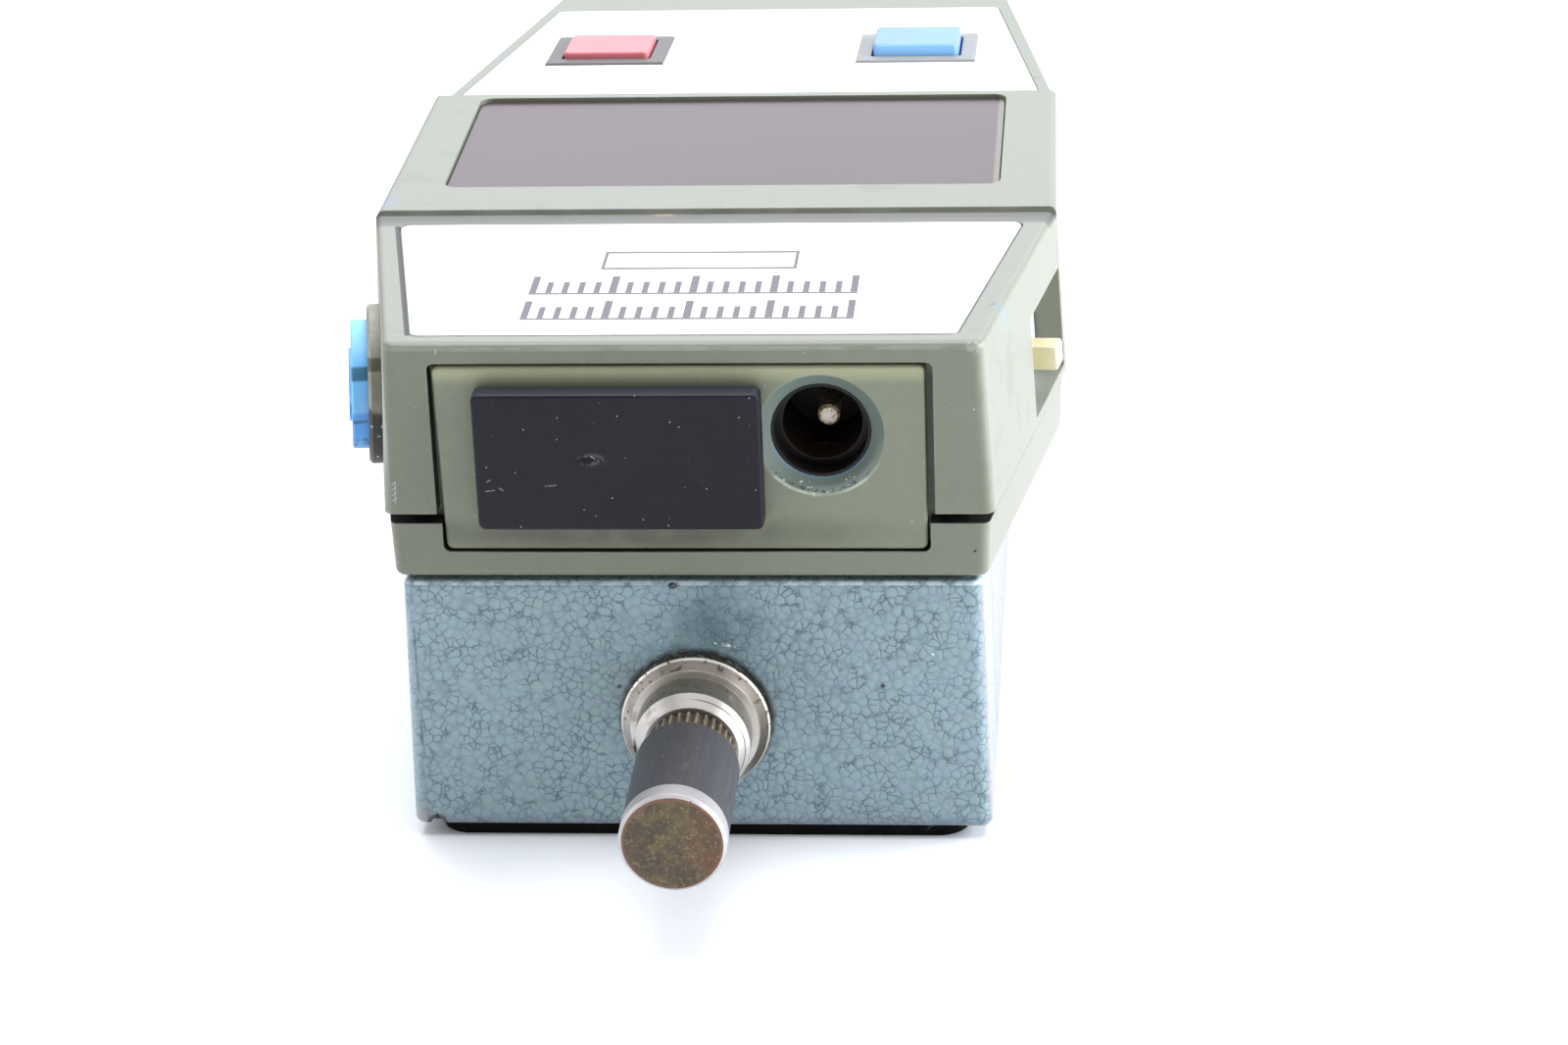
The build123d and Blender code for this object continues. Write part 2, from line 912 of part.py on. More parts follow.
def make_upper_case():
    """Cover with the window, the panel opening, the switch pocket and the sloping key deck."""
    shell = case_solid(seam_top, case_top, upper_lean, 0)
    shell = fillet(upright_edges(shell), case_corner)
    shell = fillet(shell.faces().sort_by(Axis.Z)[-1].edges(), case_edge)
    shell -= above_deck(0)
    foot_spread = upper_lean + cut_over * lean_rate
    room = case_solid(seam_top - cut_over, ceiling, foot_spread, case_wall * lean_rate, case_wall)
    room -= above_deck(case_wall)
    shell -= room
    for x, y in case_boss_points:
        column = rod_z(case_boss_radius, case_boss_meet, case_top, x, y)
        shell += (column - above_deck(case_wall / 2)) & case_block()
    for x, y in display_post_points:
        shell += rod_z(display_post_radius, display_board_top, ceiling + cut_over, x, y)
    for x, y in key_post_points:
        post_top = -case_wall / 2
        post_low = -key_board_depth + board_thickness
        shell += deck * Pos(x, y, 0) * rod_z(key_post_radius, post_low, post_top)
    shell += pocket_shell()
    shell -= pocket_hollow()
    shell -= knob_slot()
    shell -= panel_opening(panel_left - panel_gap_left, panel_right + panel_gap_right)
    shell -= label_recess()
    shell -= window_openings()
    shell -= groove()
    shell -= key_plate(key_plate_thickness - key_plate_proud, label_gap, case_edge)
    for place in key_places:
        shell -= place * bezel_room()
    shell -= on_left_wall(Cylinder(neck_radius + part_fit, 4 * case_wall))
    for x, y in case_boss_points:
        deep = case_foot + case_screw_length + cut_over
        shell -= rod_z(case_screw_radius + part_fit, case_boss_meet - cut_over, deep, x, y)
    for x, y in display_post_points:
        low = display_board_top - cut_over
        shell -= rod_z(small_screw_radius + part_fit, low, display_board_top + 2 * case_wall, x, y)
    for x, y in key_post_points:
        low = -key_board_depth + board_thickness
        hole = rod_z(small_screw_radius + part_fit, low - cut_over, low + 2 * case_wall)
        shell -= deck * Pos(x, y, 0) * hole
    return shell


def case_block():
    """The case's outer form without its wall, to trim bosses with."""
    return case_solid(seam_top, case_top - case_wall / 2, upper_lean, 0, case_wall / 2)


def pocket_box(grow, deep, over):
    """Box round the pocket in the right wall, grown sideways, from over the wall to a depth."""
    front = pocket_front_setback - knob_setback - grow
    rear = pocket_rear_setback - knob_setback + grow
    low = pocket_bottom - knob_height - grow
    high = low + pocket_height + 2 * grow
    return pocket_wall_frame * block(front, rear, low, high, -deep, over)


def pocket_shell():
    """Walls and floor round the pocket, inside the case."""
    return pocket_box(pocket_wall, pocket_depth + pocket_wall, 0) & case_block()


def pocket_hollow():
    return pocket_box(0, pocket_depth, case_wall)


def knob_room(depth):
    """Box that the knob's neck runs in, with a gap all round."""
    return Box(knob_length + knob_travel + 2 * knob_gap, knob_tall + 2 * knob_gap, depth)


def knob_slot():
    """Slot in the pocket's floor for the knob's neck."""
    middle = Pos(knob_travel / 2, 0, -pocket_depth - pocket_wall / 2)
    return pocket_wall_frame * middle * knob_room(3 * pocket_wall)


def label_outline(gap, low, high):
    """Tapered plate outline with rounded corners, between two heights."""
    front = case_front + label_front_setback - gap
    rear = case_front + label_rear_setback + gap
    half_front = case_half(front) - label_margin_front + gap
    half_rear = case_half(rear) - label_margin_rear + gap
    face = make_face(
        Polyline(
            (-half_front, front), (half_front, front), (half_rear, rear), (-half_rear, rear), close=True
        )
    )
    solid = Pos(0, 0, low) * extrude(face, amount=high - low)
    return fillet(solid.edges().filter_by(Axis.Z), label_corner)


def label_recess():
    return label_outline(label_gap, case_top - label_thickness + label_proud, case_top + cut_over)


def make_front_label():
    low = case_top - label_thickness + label_proud
    return label_outline(0, low, low + label_thickness)


def window_plate(gap, low, high):
    """The window's rounded outline between two heights."""
    plate = block(
        -window_half - gap, window_half + gap, window_front - gap, window_rear + gap, low, high
    )
    return fillet(plate.edges().filter_by(Axis.Z), window_corner)


def window_openings():
    """Recess that the window lies in, and the opening below its ledge."""
    ledge_top = case_top - window_sunk - window_thickness
    recess = window_plate(window_gap, ledge_top, case_top + cut_over)
    return recess + window_plate(-window_ledge, ceiling - cut_over, ledge_top + cut_over)


def make_display_window():
    ledge_top = case_top - window_sunk - window_thickness
    return window_plate(0, ledge_top, ledge_top + window_thickness)


def groove():
    """V groove across the case's top between the label and the window."""
    middle = case_front + groove_setback
    outline = Polyline(
        (middle - groove_width / 2, case_top),
        (middle - groove_width / 2, case_top + cut_over),
        (middle + groove_width / 2, case_top + cut_over),
        (middle + groove_width / 2, case_top),
        (middle, case_top - groove_depth),
        close=True,
    )
    profile = Plane.YZ * make_face(outline)
    return extrude(profile, amount=2 * case_half_shoulder, both=True)


def key_plate(thickness_below, gap, over):
    """Tapered plate on the key deck, from below its surface to a height over it."""
    front = hip_y + key_plate_front_margin - gap
    rear = case_rear - key_plate_rear_margin + gap
    half_front = case_half(front) - key_plate_side_margin + gap
    half_rear = case_half(rear) - key_plate_side_margin + gap
    face = make_face(
        Polyline(
            (-half_front, front), (half_front, front), (half_rear, rear), (-half_rear, rear), close=True
        )
    )
    column = extrude(face, amount=case_top + case_wall)
    column = fillet(column.edges().filter_by(Axis.Z), label_corner)
    middle = Pos(0, 0, (over - thickness_below) / 2)
    slab = deck * middle * Box(4 * case_half_hip, 2 * case_length, over + thickness_below)
    return column & slab


def make_keypad_plate():
    plate = key_plate(key_plate_thickness - key_plate_proud, 0, key_plate_proud)
    for place in key_places:
        plate -= place * bezel_room()
    return plate


def bezel_room():
    """Square hole through the deck for a bezel."""
    side = bezel_size + 2 * part_fit
    return Box(side, side, 3 * case_wall)


def make_bezel():
    """Square frame in the deck that a key runs in."""
    frame = block(
        -bezel_size / 2,
        bezel_size / 2,
        -bezel_size / 2,
        bezel_size / 2,
        -case_wall,
        key_plate_proud + bezel_proud,
    )
    frame = chamfer(frame.faces().sort_by(Axis.Z)[-1].edges(), bezel_edge)
    width = key_width + 2 * key_gap
    length = key_length + 2 * key_gap
    return frame - Box(width, length, 4 * case_wall)


def make_key(proud):
    """Key with rounded top edges and a flange that holds it under its bezel."""
    flange_top = -case_wall - key_gap
    low = flange_top - key_flange
    key = block(-key_width / 2, key_width / 2, -key_length / 2, key_length / 2, low, proud)
    key = fillet(key.edges().filter_by(Axis.Z), key_corner)
    key = fillet(key.faces().sort_by(Axis.Z)[-1].edges(), key_edge)
    width = key_width + 2 * key_flange_reach
    length = key_length + 2 * key_flange_reach
    return key + block(-width / 2, width / 2, -length / 2, length / 2, low, flange_top)


def make_key_switch():
    """Push switch on the key board, with a round plunger below the key."""
    board_face = -key_board_depth + board_thickness
    half = key_switch_size / 2
    switch = block(-half, half, -half, half, board_face, board_face + key_switch_height)
    flange_low = -case_wall - key_gap - key_flange
    return switch + rod_z(half / 2, board_face, flange_low - key_travel - key_gap)


def make_key_board():
    board = block(
        -key_board_half,
        key_board_half,
        -key_board_length / 2,
        key_board_length / 2,
        -key_board_depth,
        -key_board_depth + board_thickness,
    )
    for x, y in key_post_points:
        board -= rod_z(small_screw_radius + part_fit, -key_board_depth - cut_over, 0, x, y)
    return deck * board


def make_connector_panel():
    """Moulded insert with a flange behind the case wall, a socket opening and the jack's dish."""
    outline = Polyline(
        (panel_left, panel_top),
        (panel_right, panel_top),
        (panel_right, panel_bottom),
        (panel_left + panel_taper, panel_bottom),
        close=True,
    )
    plate = extrude(Plane.XZ.offset(-panel_back) * make_face(outline), amount=panel_thickness)
    plate = fillet(plate.edges().filter_by(Axis.Y), panel_corner)
    plate = fillet(plate.faces().sort_by(Axis.Y)[0].edges(), panel_edge)
    reach = panel_flange_reach
    plate += block(
        panel_left - reach,
        panel_right + reach,
        wall_inner,
        wall_inner + panel_flange,
        panel_bottom - panel_gap_height,
        ceiling - part_fit,
    )
    back = wall_inner + panel_flange + cut_over
    outer_width = mouth_width + 2 * connector_wall + 2 * part_fit
    outer_height = mouth_height + 2 * connector_wall + 2 * part_fit
    plate -= Pos(mouth_x, panel_back, mouth_z) * Box(outer_width, 4 * panel_thickness, outer_height)
    dish = turned(
        [
            (0, panel_face - dish_depth),
            (dish_radius + dish_radius - jack_nose_radius, panel_face - dish_depth),
            (jack_nose_radius + part_fit, panel_face + dish_depth),
            (jack_nose_radius + part_fit, back),
            (0, back),
        ]
    )
    return plate - Pos(jack_x, 0, jack_z) * dish


def make_output_connector():
    """Socket housing through the panel, open at the front."""
    front = panel_face
    width = mouth_width + 2 * connector_wall
    height = mouth_height + 2 * connector_wall
    rear = front + mouth_depth + connector_base
    housing = block(-width / 2, width / 2, front, rear, -height / 2, height / 2)
    housing += block(
        -width / 2 - connector_wall / 2,
        width / 2 + connector_wall / 2,
        wall_inner + panel_flange,
        rear,
        -height / 2,
        height / 2,
    )
    housing -= block(
        -mouth_width / 2,
        mouth_width / 2,
        front - cut_over,
        front + mouth_depth,
        -mouth_height / 2,
        mouth_height / 2,
    )
    hole = pin_size + 2 * part_fit
    for x, z in pin_places():
        housing -= Pos(x, rear, z) * Box(hole, 4 * connector_base, hole)
    return Pos(mouth_x, 0, mouth_z) * housing


def pin_places():
    """Places of the connector's pins, from the middle of its mouth."""
    columns = [(c - (pin_columns - 1) / 2) * pin_pitch for c in range(pin_columns)]
    rows = [(r - (pin_rows - 1) / 2) * pin_pitch for r in range(pin_rows)]
    return [(x, z) for x in columns for z in rows]


def make_connector_pins():
    rear = panel_face + mouth_depth + connector_base
    front = panel_face + mouth_depth - pin_length
    half = pin_size / 2
    pin = block(-half, half, front, rear, -half, half)
    return make_stack([Pos(mouth_x + x, 0, mouth_z + z) for x, z in pin_places()], pin)


def make_connector_cap():
    """Rubber cap over the output connector, with a hollow skirt inside the socket."""
    back = panel_face - cap_clearance
    cap = Pos(mouth_x, back - cap_thickness / 2, mouth_z) * Box(cap_width, cap_thickness, cap_height)
    cap = fillet(cap.edges().filter_by(Axis.Y), cap_corner)
    cap = fillet(cap.faces().sort_by(Axis.Y)[0].edges(), cap_edge)
    width = mouth_width - 2 * skirt_gap
    height = mouth_height - 2 * skirt_gap
    front = back - cap_thickness / 2
    length = cap_clearance + skirt_length - 2 * skirt_gap
    skirt = block(-width / 2, width / 2, front, back + length, -height / 2, height / 2)
    skirt -= block(
        -width / 2 + skirt_wall,
        width / 2 - skirt_wall,
        back,
        back + length + cut_over,
        -height / 2 + skirt_wall,
        height / 2 - skirt_wall,
    )
    return cap + Pos(mouth_x, 0, mouth_z) * skirt


def make_jack_body():
    """Supply jack with a round nose in the panel and a stepped bore."""
    nose_front = panel_face + dish_depth
    rear = panel_face + jack_bore_depth + jack_base
    body = rod_y(jack_nose_radius, nose_front, rear - jack_base)
    body += block(-jack_half, jack_half, wall_inner + panel_flange, rear, -jack_half, jack_half)
    body -= rod_y(jack_entry_radius, nose_front - cut_over, panel_face + jack_entry_depth)
    body -= rod_y(jack_bore_radius, nose_front, panel_face + jack_bore_depth)
    body -= rod_y(jack_pin_radius + part_fit, nose_front, rear + cut_over, jack_pin_offset)
    body -= jack_spring_form(part_fit)
    return Pos(jack_x, 0, jack_z) * body


def jack_spring_form(grow):
    """Flat contact along the bottom of the jack's bore, with a tail through its base."""
    low = -jack_bore_radius - jack_spring_thickness / 2 - grow
    return block(
        -jack_spring_width / 2 - grow,
        jack_spring_width / 2 + grow,
        panel_face + jack_spring_depth,
        panel_face + jack_bore_depth + jack_base + (cut_over if grow else 0),
        low,
        low + jack_spring_thickness + 2 * grow,
    )


def make_jack_pin():
    """Centre pin, which stands a little to the right of the bore's middle."""
    tip = panel_face + jack_pin_depth
    pin = rod_y(jack_pin_radius, tip, panel_face + jack_bore_depth + jack_base)
    pin = chamfer(pin.edges().sort_by(Axis.Y)[0], jack_pin_edge)
    return Pos(jack_x + jack_pin_offset, 0, jack_z) * pin


def make_display_board():
    half_y = (window_rear - window_front) / 2
    middle = (window_rear + window_front) / 2
    low = display_board_top - board_thickness
    board = block(
        -display_board_half, display_board_half, middle - half_y, middle + half_y, low, display_board_top
    )
    for x, y in display_post_points:
        board -= rod_z(small_screw_radius + part_fit, low - cut_over, display_board_top + cut_over, x, y)
    return board


def make_led_digits():
    middle = (window_rear + window_front) / 2
    digit = Box(digit_width, digit_length, digit_height)
    z = display_board_top + digit_height / 2
    first = -(digit_count - 1) / 2
    return make_stack([Pos((first + n) * digit_pitch, middle, z) for n in range(digit_count)], digit)


def make_main_board():
    board = block(
        -main_board_half, main_board_half, main_board_front, main_board_rear, board_bottom, board_top
    )
    for x, y in board_post_points:
        board -= rod_z(small_screw_radius + part_fit, board_bottom - cut_over, board_top + cut_over, x, y)
    return board


def make_board_chips():
    y = case_front + chip_row_setback
    chip = Pos(0, y, board_top + chip_height / 2) * Box(chip_width, chip_length, chip_height)
    chip = chamfer(chip.faces().sort_by(Axis.Z)[-1].edges(), chip_edge)
    first = -(chip_count - 1) / 2
    return make_stack([Pos((first + n) * chip_pitch, 0, 0) for n in range(chip_count)], chip)


def make_power_capacitor():
    y = case_front + capacitor_setback
    can = Rot(0, 90, 0) * Cylinder(capacitor_radius, capacitor_length)
    can = fillet(can.edges().filter_by(GeomType.CIRCLE), capacitor_edge)
    return Pos(0, y, board_top + capacitor_radius) * can


def make_board_screws():
    """All the small screws that hold the three boards."""
    low_reach = board_thickness + board_lift - part_fit
    high_reach = board_thickness + 2 * case_wall - part_fit
    screw = pan_screw(small_head_radius, small_head_height, small_screw_radius, low_reach)
    upward = pan_screw(small_head_radius, small_head_height, small_screw_radius, high_reach)
    upward = Rot(180, 0, 0) * upward
    screws = [Pos(x, y, board_top) * screw for x, y in board_post_points]
    low = display_board_top - board_thickness
    screws += [Pos(x, y, low) * upward for x, y in display_post_points]
    screws += [deck * Pos(x, y, -key_board_depth) * upward for x, y in key_post_points]
    return Compound(children=screws)


def make_case_screws():
    """Screws from under the lower case up into the upper case's bosses."""
    seat = case_foot + case_screw_head_height
    reach = case_screw_length - case_screw_head_height
    screw = pan_screw(case_screw_head_radius, case_screw_head_height, case_screw_radius, reach)
    return make_stack([Pos(x, y, seat) * Rot(180, 0, 0) for x, y in case_boss_points], screw)


def make_mounting_screws():
    """Screws from inside the lower case down into the gauge body."""
    screw = pan_screw(
        case_screw_head_radius, case_screw_head_height, case_screw_radius, mounting_screw_length
    )
    return make_stack([Pos(x, y, floor_top) for x, y in mounting_points], screw)


def make_head_screws():
    """Screws through the case seat that hold the reading head to the body's roof."""
    screw = rod_z(small_screw_radius, cavity_roof - head_screw_reach, case_foot)
    return make_stack([Pos(x, y, 0) for x, y in head_screw_places()], screw)


def make_slide_switch_body():
    """Slide switch behind the pocket's floor, with a slot for the knob's neck."""
    top = -pocket_depth - pocket_wall
    body = Box(switch_length, switch_tall, switch_depth)
    slot = Pos(0, 0, switch_depth / 2) * knob_room(switch_depth)
    return pocket_wall_frame * Pos(knob_travel / 2, 0, top - switch_depth / 2) * (body - slot)


def make_slide_switch_knob():
    """Knob that stands out of the pocket, on a neck into the switch."""
    low = -pocket_depth - pocket_wall - switch_depth / 2 + knob_gap
    knob = block(
        -knob_length / 2, knob_length / 2, -knob_tall / 2, knob_tall / 2, low, knob_proud
    )
    knob = fillet(knob.faces().sort_by(Axis.Z)[-1].edges(), knob_edge)
    return pocket_wall_frame * knob


def make_pocket_label():
    """Thin plate on the pocket's floor, slotted for the knob."""
    front = pocket_front_setback - knob_setback + label_gap
    rear = pocket_rear_setback - knob_setback - label_gap
    low = pocket_bottom - knob_height + label_gap
    high = low + pocket_height - 2 * label_gap
    plate = block(front, rear, low, high, -pocket_depth, -pocket_depth + pocket_label_thickness)
    slot = Pos(knob_travel / 2, 0, -pocket_depth) * knob_room(2 * pocket_wall)
    return pocket_wall_frame * (plate - slot)


def on_left_wall(piece):
    """A piece built on the right wall's frame, mirrored to the left wall."""
    return mirror(button_wall_frame * piece, Plane.YZ)


def make_side_ring():
    """Plain ring nut on the outside of the wall, broken at its outer edge."""
    ring = rod_z(ring_radius, 0, ring_proud)
    ring = chamfer(ring.edges().sort_by(Axis.Z)[-1], ring_edge)
    return on_left_wall(ring - rod_z(neck_radius + part_fit, -cut_over, ring_proud + cut_over))


def make_side_switch():
    """Push switch behind the wall, with its threaded neck through the wall into the ring."""
    half = side_switch_half
    switch = block(-half, half, -half, half, -case_wall - side_switch_depth, -case_wall)
    switch += rod_z(neck_radius, -case_wall - cut_over, ring_proud - neck_short)
    bottom = -case_wall - button_travel - 2 * button_gap
    return on_left_wall(switch - rod_z(button_radius + button_gap, bottom, ring_proud))


def make_side_button():
    """Round button with a raised crown, guided in the switch's neck."""
    button = rod_z(button_radius, -case_wall, button_proud)
    button = fillet(button.edges().sort_by(Axis.Z)[-1], button_crown)
    button += rod_z(button_crown_radius, 0, button_proud + button_crown)
    return on_left_wall(button)


nodes = {
    "gauge_body": make_gauge_body,
    "back_plate": make_back_plate,
    "back_plate_screws": make_back_plate_screws,
    "stem_bush": make_stem_bush,
    "stem_nut": make_stem_nut,
    "rear_bush": make_rear_bush,
    "guide_rod": make_guide_rod,
    "spindle": make_spindle,
    "contact_base": make_contact_base,
    "contact_sleeve": make_contact_sleeve,
    "contact_anvil": make_contact_anvil,
    "scale_carrier": make_scale_carrier,
    "carrier_screw": make_carrier_screw,
    "glass_scale": make_glass_scale,
    "reading_head": make_reading_head,
    "reading_head_screws": make_head_screws,
    "lower_case": make_lower_case,
    "upper_case": make_upper_case,
    "case_screws": make_case_screws,
    "mounting_screws": make_mounting_screws,
    "connector_panel": make_connector_panel,
    "connector_cap": make_connector_cap,
    "output_connector": make_output_connector,
    "connector_pins": make_connector_pins,
    "supply_jack": make_jack_body,
    "supply_jack_pin": make_jack_pin,
    "supply_jack_spring": lambda: Pos(jack_x, 0, jack_z) * jack_spring_form(0),
    "front_label": make_front_label,
    "display_window": make_display_window,
    "display_board": make_display_board,
    "led_digits": make_led_digits,
    "main_board": make_main_board,
    "board_chips": make_board_chips,
    "power_capacitor": make_power_capacitor,
    "board_screws": make_board_screws,
    "keypad_plate": make_keypad_plate,
    "button_bezels": lambda: make_stack(key_places, make_bezel()),
    "red_button": lambda: key_places[0] * make_key(red_key_proud),
    "blue_button": lambda: key_places[1] * make_key(blue_key_proud),
    "key_board": make_key_board,
    "key_switches": lambda: make_stack(key_places, make_key_switch()),
    "slide_switch_body": make_slide_switch_body,
    "slide_switch_knob": make_slide_switch_knob,
    "pocket_label": make_pocket_label,
    "side_ring": make_side_ring,
    "side_button": make_side_button,
    "side_switch": make_side_switch,
}

os.makedirs("parts", exist_ok=True)
for name, make in nodes.items():
    export_step(make(), "parts/" + name + ".step")
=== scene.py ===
import math

import bpy
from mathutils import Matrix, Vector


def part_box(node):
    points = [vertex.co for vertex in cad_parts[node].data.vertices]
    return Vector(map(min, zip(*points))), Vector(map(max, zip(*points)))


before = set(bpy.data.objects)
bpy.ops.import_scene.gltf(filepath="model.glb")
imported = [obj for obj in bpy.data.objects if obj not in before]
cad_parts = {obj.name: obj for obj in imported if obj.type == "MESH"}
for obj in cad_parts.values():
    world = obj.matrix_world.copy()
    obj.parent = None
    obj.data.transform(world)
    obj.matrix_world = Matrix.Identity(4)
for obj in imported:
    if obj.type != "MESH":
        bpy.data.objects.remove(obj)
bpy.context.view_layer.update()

# Everything below is in metres, in the frame of the CAD model. Looks work in millimetres.
MM = 0.001

# Ways that a face can look
UP = (0.0, 0.0, 1.0)
RIGHT = (1.0, 0.0, 0.0)
FRONT = (0.0, -1.0, 0.0)

# Camera, in metres and degrees, from a fit of points measured in a photograph of 1600 x 1066
CAMERA_PLACE = (0.04002, -0.34848, 0.18065)
CAMERA_TURN = (65.595, 1.910, 4.158)
FOCAL_PIXELS = 4150.3
PHOTO_WIDTH = 1600
SENSOR_WIDTH = 36.0

# Room: a pale floor, even surroundings and soft panels of light
FLOOR_HALF = 3.0
FLOOR_COLOR = (0.90, 0.905, 0.92)
WORLD_COLOR = (1.0, 0.985, 0.95)
WORLD_STRENGTH = 0.26
LIGHT_COLOR = (0.91, 0.935, 1.0)
# Each panel's name, place, target, width, height and power in watts
PANELS = (
    ("top_light", (0.02, 0.20, 0.75), (0.02, 0.05, 0.0), 0.9, 0.9, 11.8),
    ("right_light", (0.75, 0.05, 0.25), (0.03, 0.05, 0.02), 0.7, 0.6, 13.0),
    ("back_light", (-0.02, 0.85, 0.42), (0.0, 0.10, 0.03), 1.2, 0.6, 5.0),
    ("left_light", (-0.8, -0.05, 0.35), (-0.03, 0.03, 0.02), 0.7, 0.6, 3.2),
)


def low(node):
    """Lowest corner of a node's box, in millimetres."""
    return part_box(node)[0] / MM


def high(node):
    """Highest corner of a node's box, in millimetres."""
    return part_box(node)[1] / MM


def middle(node):
    """Middle of a node's box, in millimetres."""
    return (low(node) + high(node)) / 2


# Places that looks refer to, in millimetres
BLOCK_FRONT = low("gauge_body").y
BLOCK_SIDE = high("gauge_body").x
BLOCK_FOOT = low("gauge_body").z
SEAT_HEIGHT = 0.5
BLOCK_TOP = high("gauge_body").z - SEAT_HEIGHT
CASE_FRONT = low("upper_case").y
CASE_TOP = high("upper_case").z
SEAM = low("upper_case").z
SEAM_GAP = 1.0
CONTACT_TIP = low("contact_anvil").y
ANVIL_RADIUS = high("contact_anvil").x
SLEEVE_REAR = high("contact_sleeve").y
KNURL_RADIUS = high("contact_base").x
FLANGE_RADIUS = high("stem_bush").x
JACK_X = middle("supply_jack").x
JACK_Z = middle("supply_jack").z
CAP_MIDDLE = middle("connector_cap")
RING_Z = middle("side_ring").z
LABEL_LOW = low("front_label")
LABEL_HIGH = high("front_label")
WINDOW_LOW = low("display_window")
WINDOW_HIGH = high("display_window")

# The cross groove in the case's top, by its middle, front edge and rear edge
GROOVE_SETBACK = 35.9
GROOVE_WIDTH = 1.5
GROOVE_Y = CASE_FRONT + GROOVE_SETBACK
GROOVE_NEAR = GROOVE_Y - GROOVE_WIDTH / 2
GROOVE_FAR = GROOVE_Y + GROOVE_WIDTH / 2

# Rings on the stem bush as inner and outer radii, and the front end of its collar
LINE_RING = (5.18, 5.22)
SHOULDER_RING = (5.72, 6.2)
CONE_RING = (6.35, 7.05)
RIM_RING = (7.12, 7.24)
COLLAR_FRONT = -3.3

# Radii round the supply jack, in the panel and in the jack's own bore
DISH_RADIUS = 6.05
NOSE_HOLE_RADIUS = 4.77
JACK_BORE_RADIUS = 3.8

# Print on the front label, centred across it: two tick scales and an empty outlined box
INK = (0.050, 0.050, 0.060)
BOX_INK = (0.055, 0.058, 0.050)
INK_SHARE = 0.97
TICK_PITCH = 1.56
TICK_HALF = 0.28
LONG_TICK_HALF = 0.36
SCALE_HALF = 15.6
SCALE_HEIGHT = 4.4
SCALE_ROWS = (8.9, 15.5)
BOX_HALF = 9.6
BOX_NEAR = 21.7
BOX_FAR = 26.6
BOX_SIDE_LINE = 0.35
BOX_CROSS_LINE = 0.55

# Oily spots on the round button: height, half of their size, and strength
SIDE_SPOTS = (
    (33.2, 0.75, 0.8),
    (28.5, 0.22, 0.8),
    (26.2, 0.32, 0.95),
    (25.4, 0.42, 0.95),
)

# Scratches on the panel and on the rubber cap, as X and Z of both ends
PANEL_SCRATCHES = (
    ((17.6, 19.2), (19.8, 21.6)),
    ((18.9, 20.6), (19.3, 18.9)),
    ((20.3, 33.2), (20.9, 31.6)),
)
CAP_SCRATCHES = (
    ((-8.7, 28.85), (-7.9, 28.3)),
    ((-18.9, 25.2), (-18.0, 25.35)),
    ((-18.7, 26.2), (-18.3, 26.4)),
    ((-13.2, 25.75), (-12.1, 25.85)),
    ((-17.6, 25.6), (-17.2, 25.3)),
)


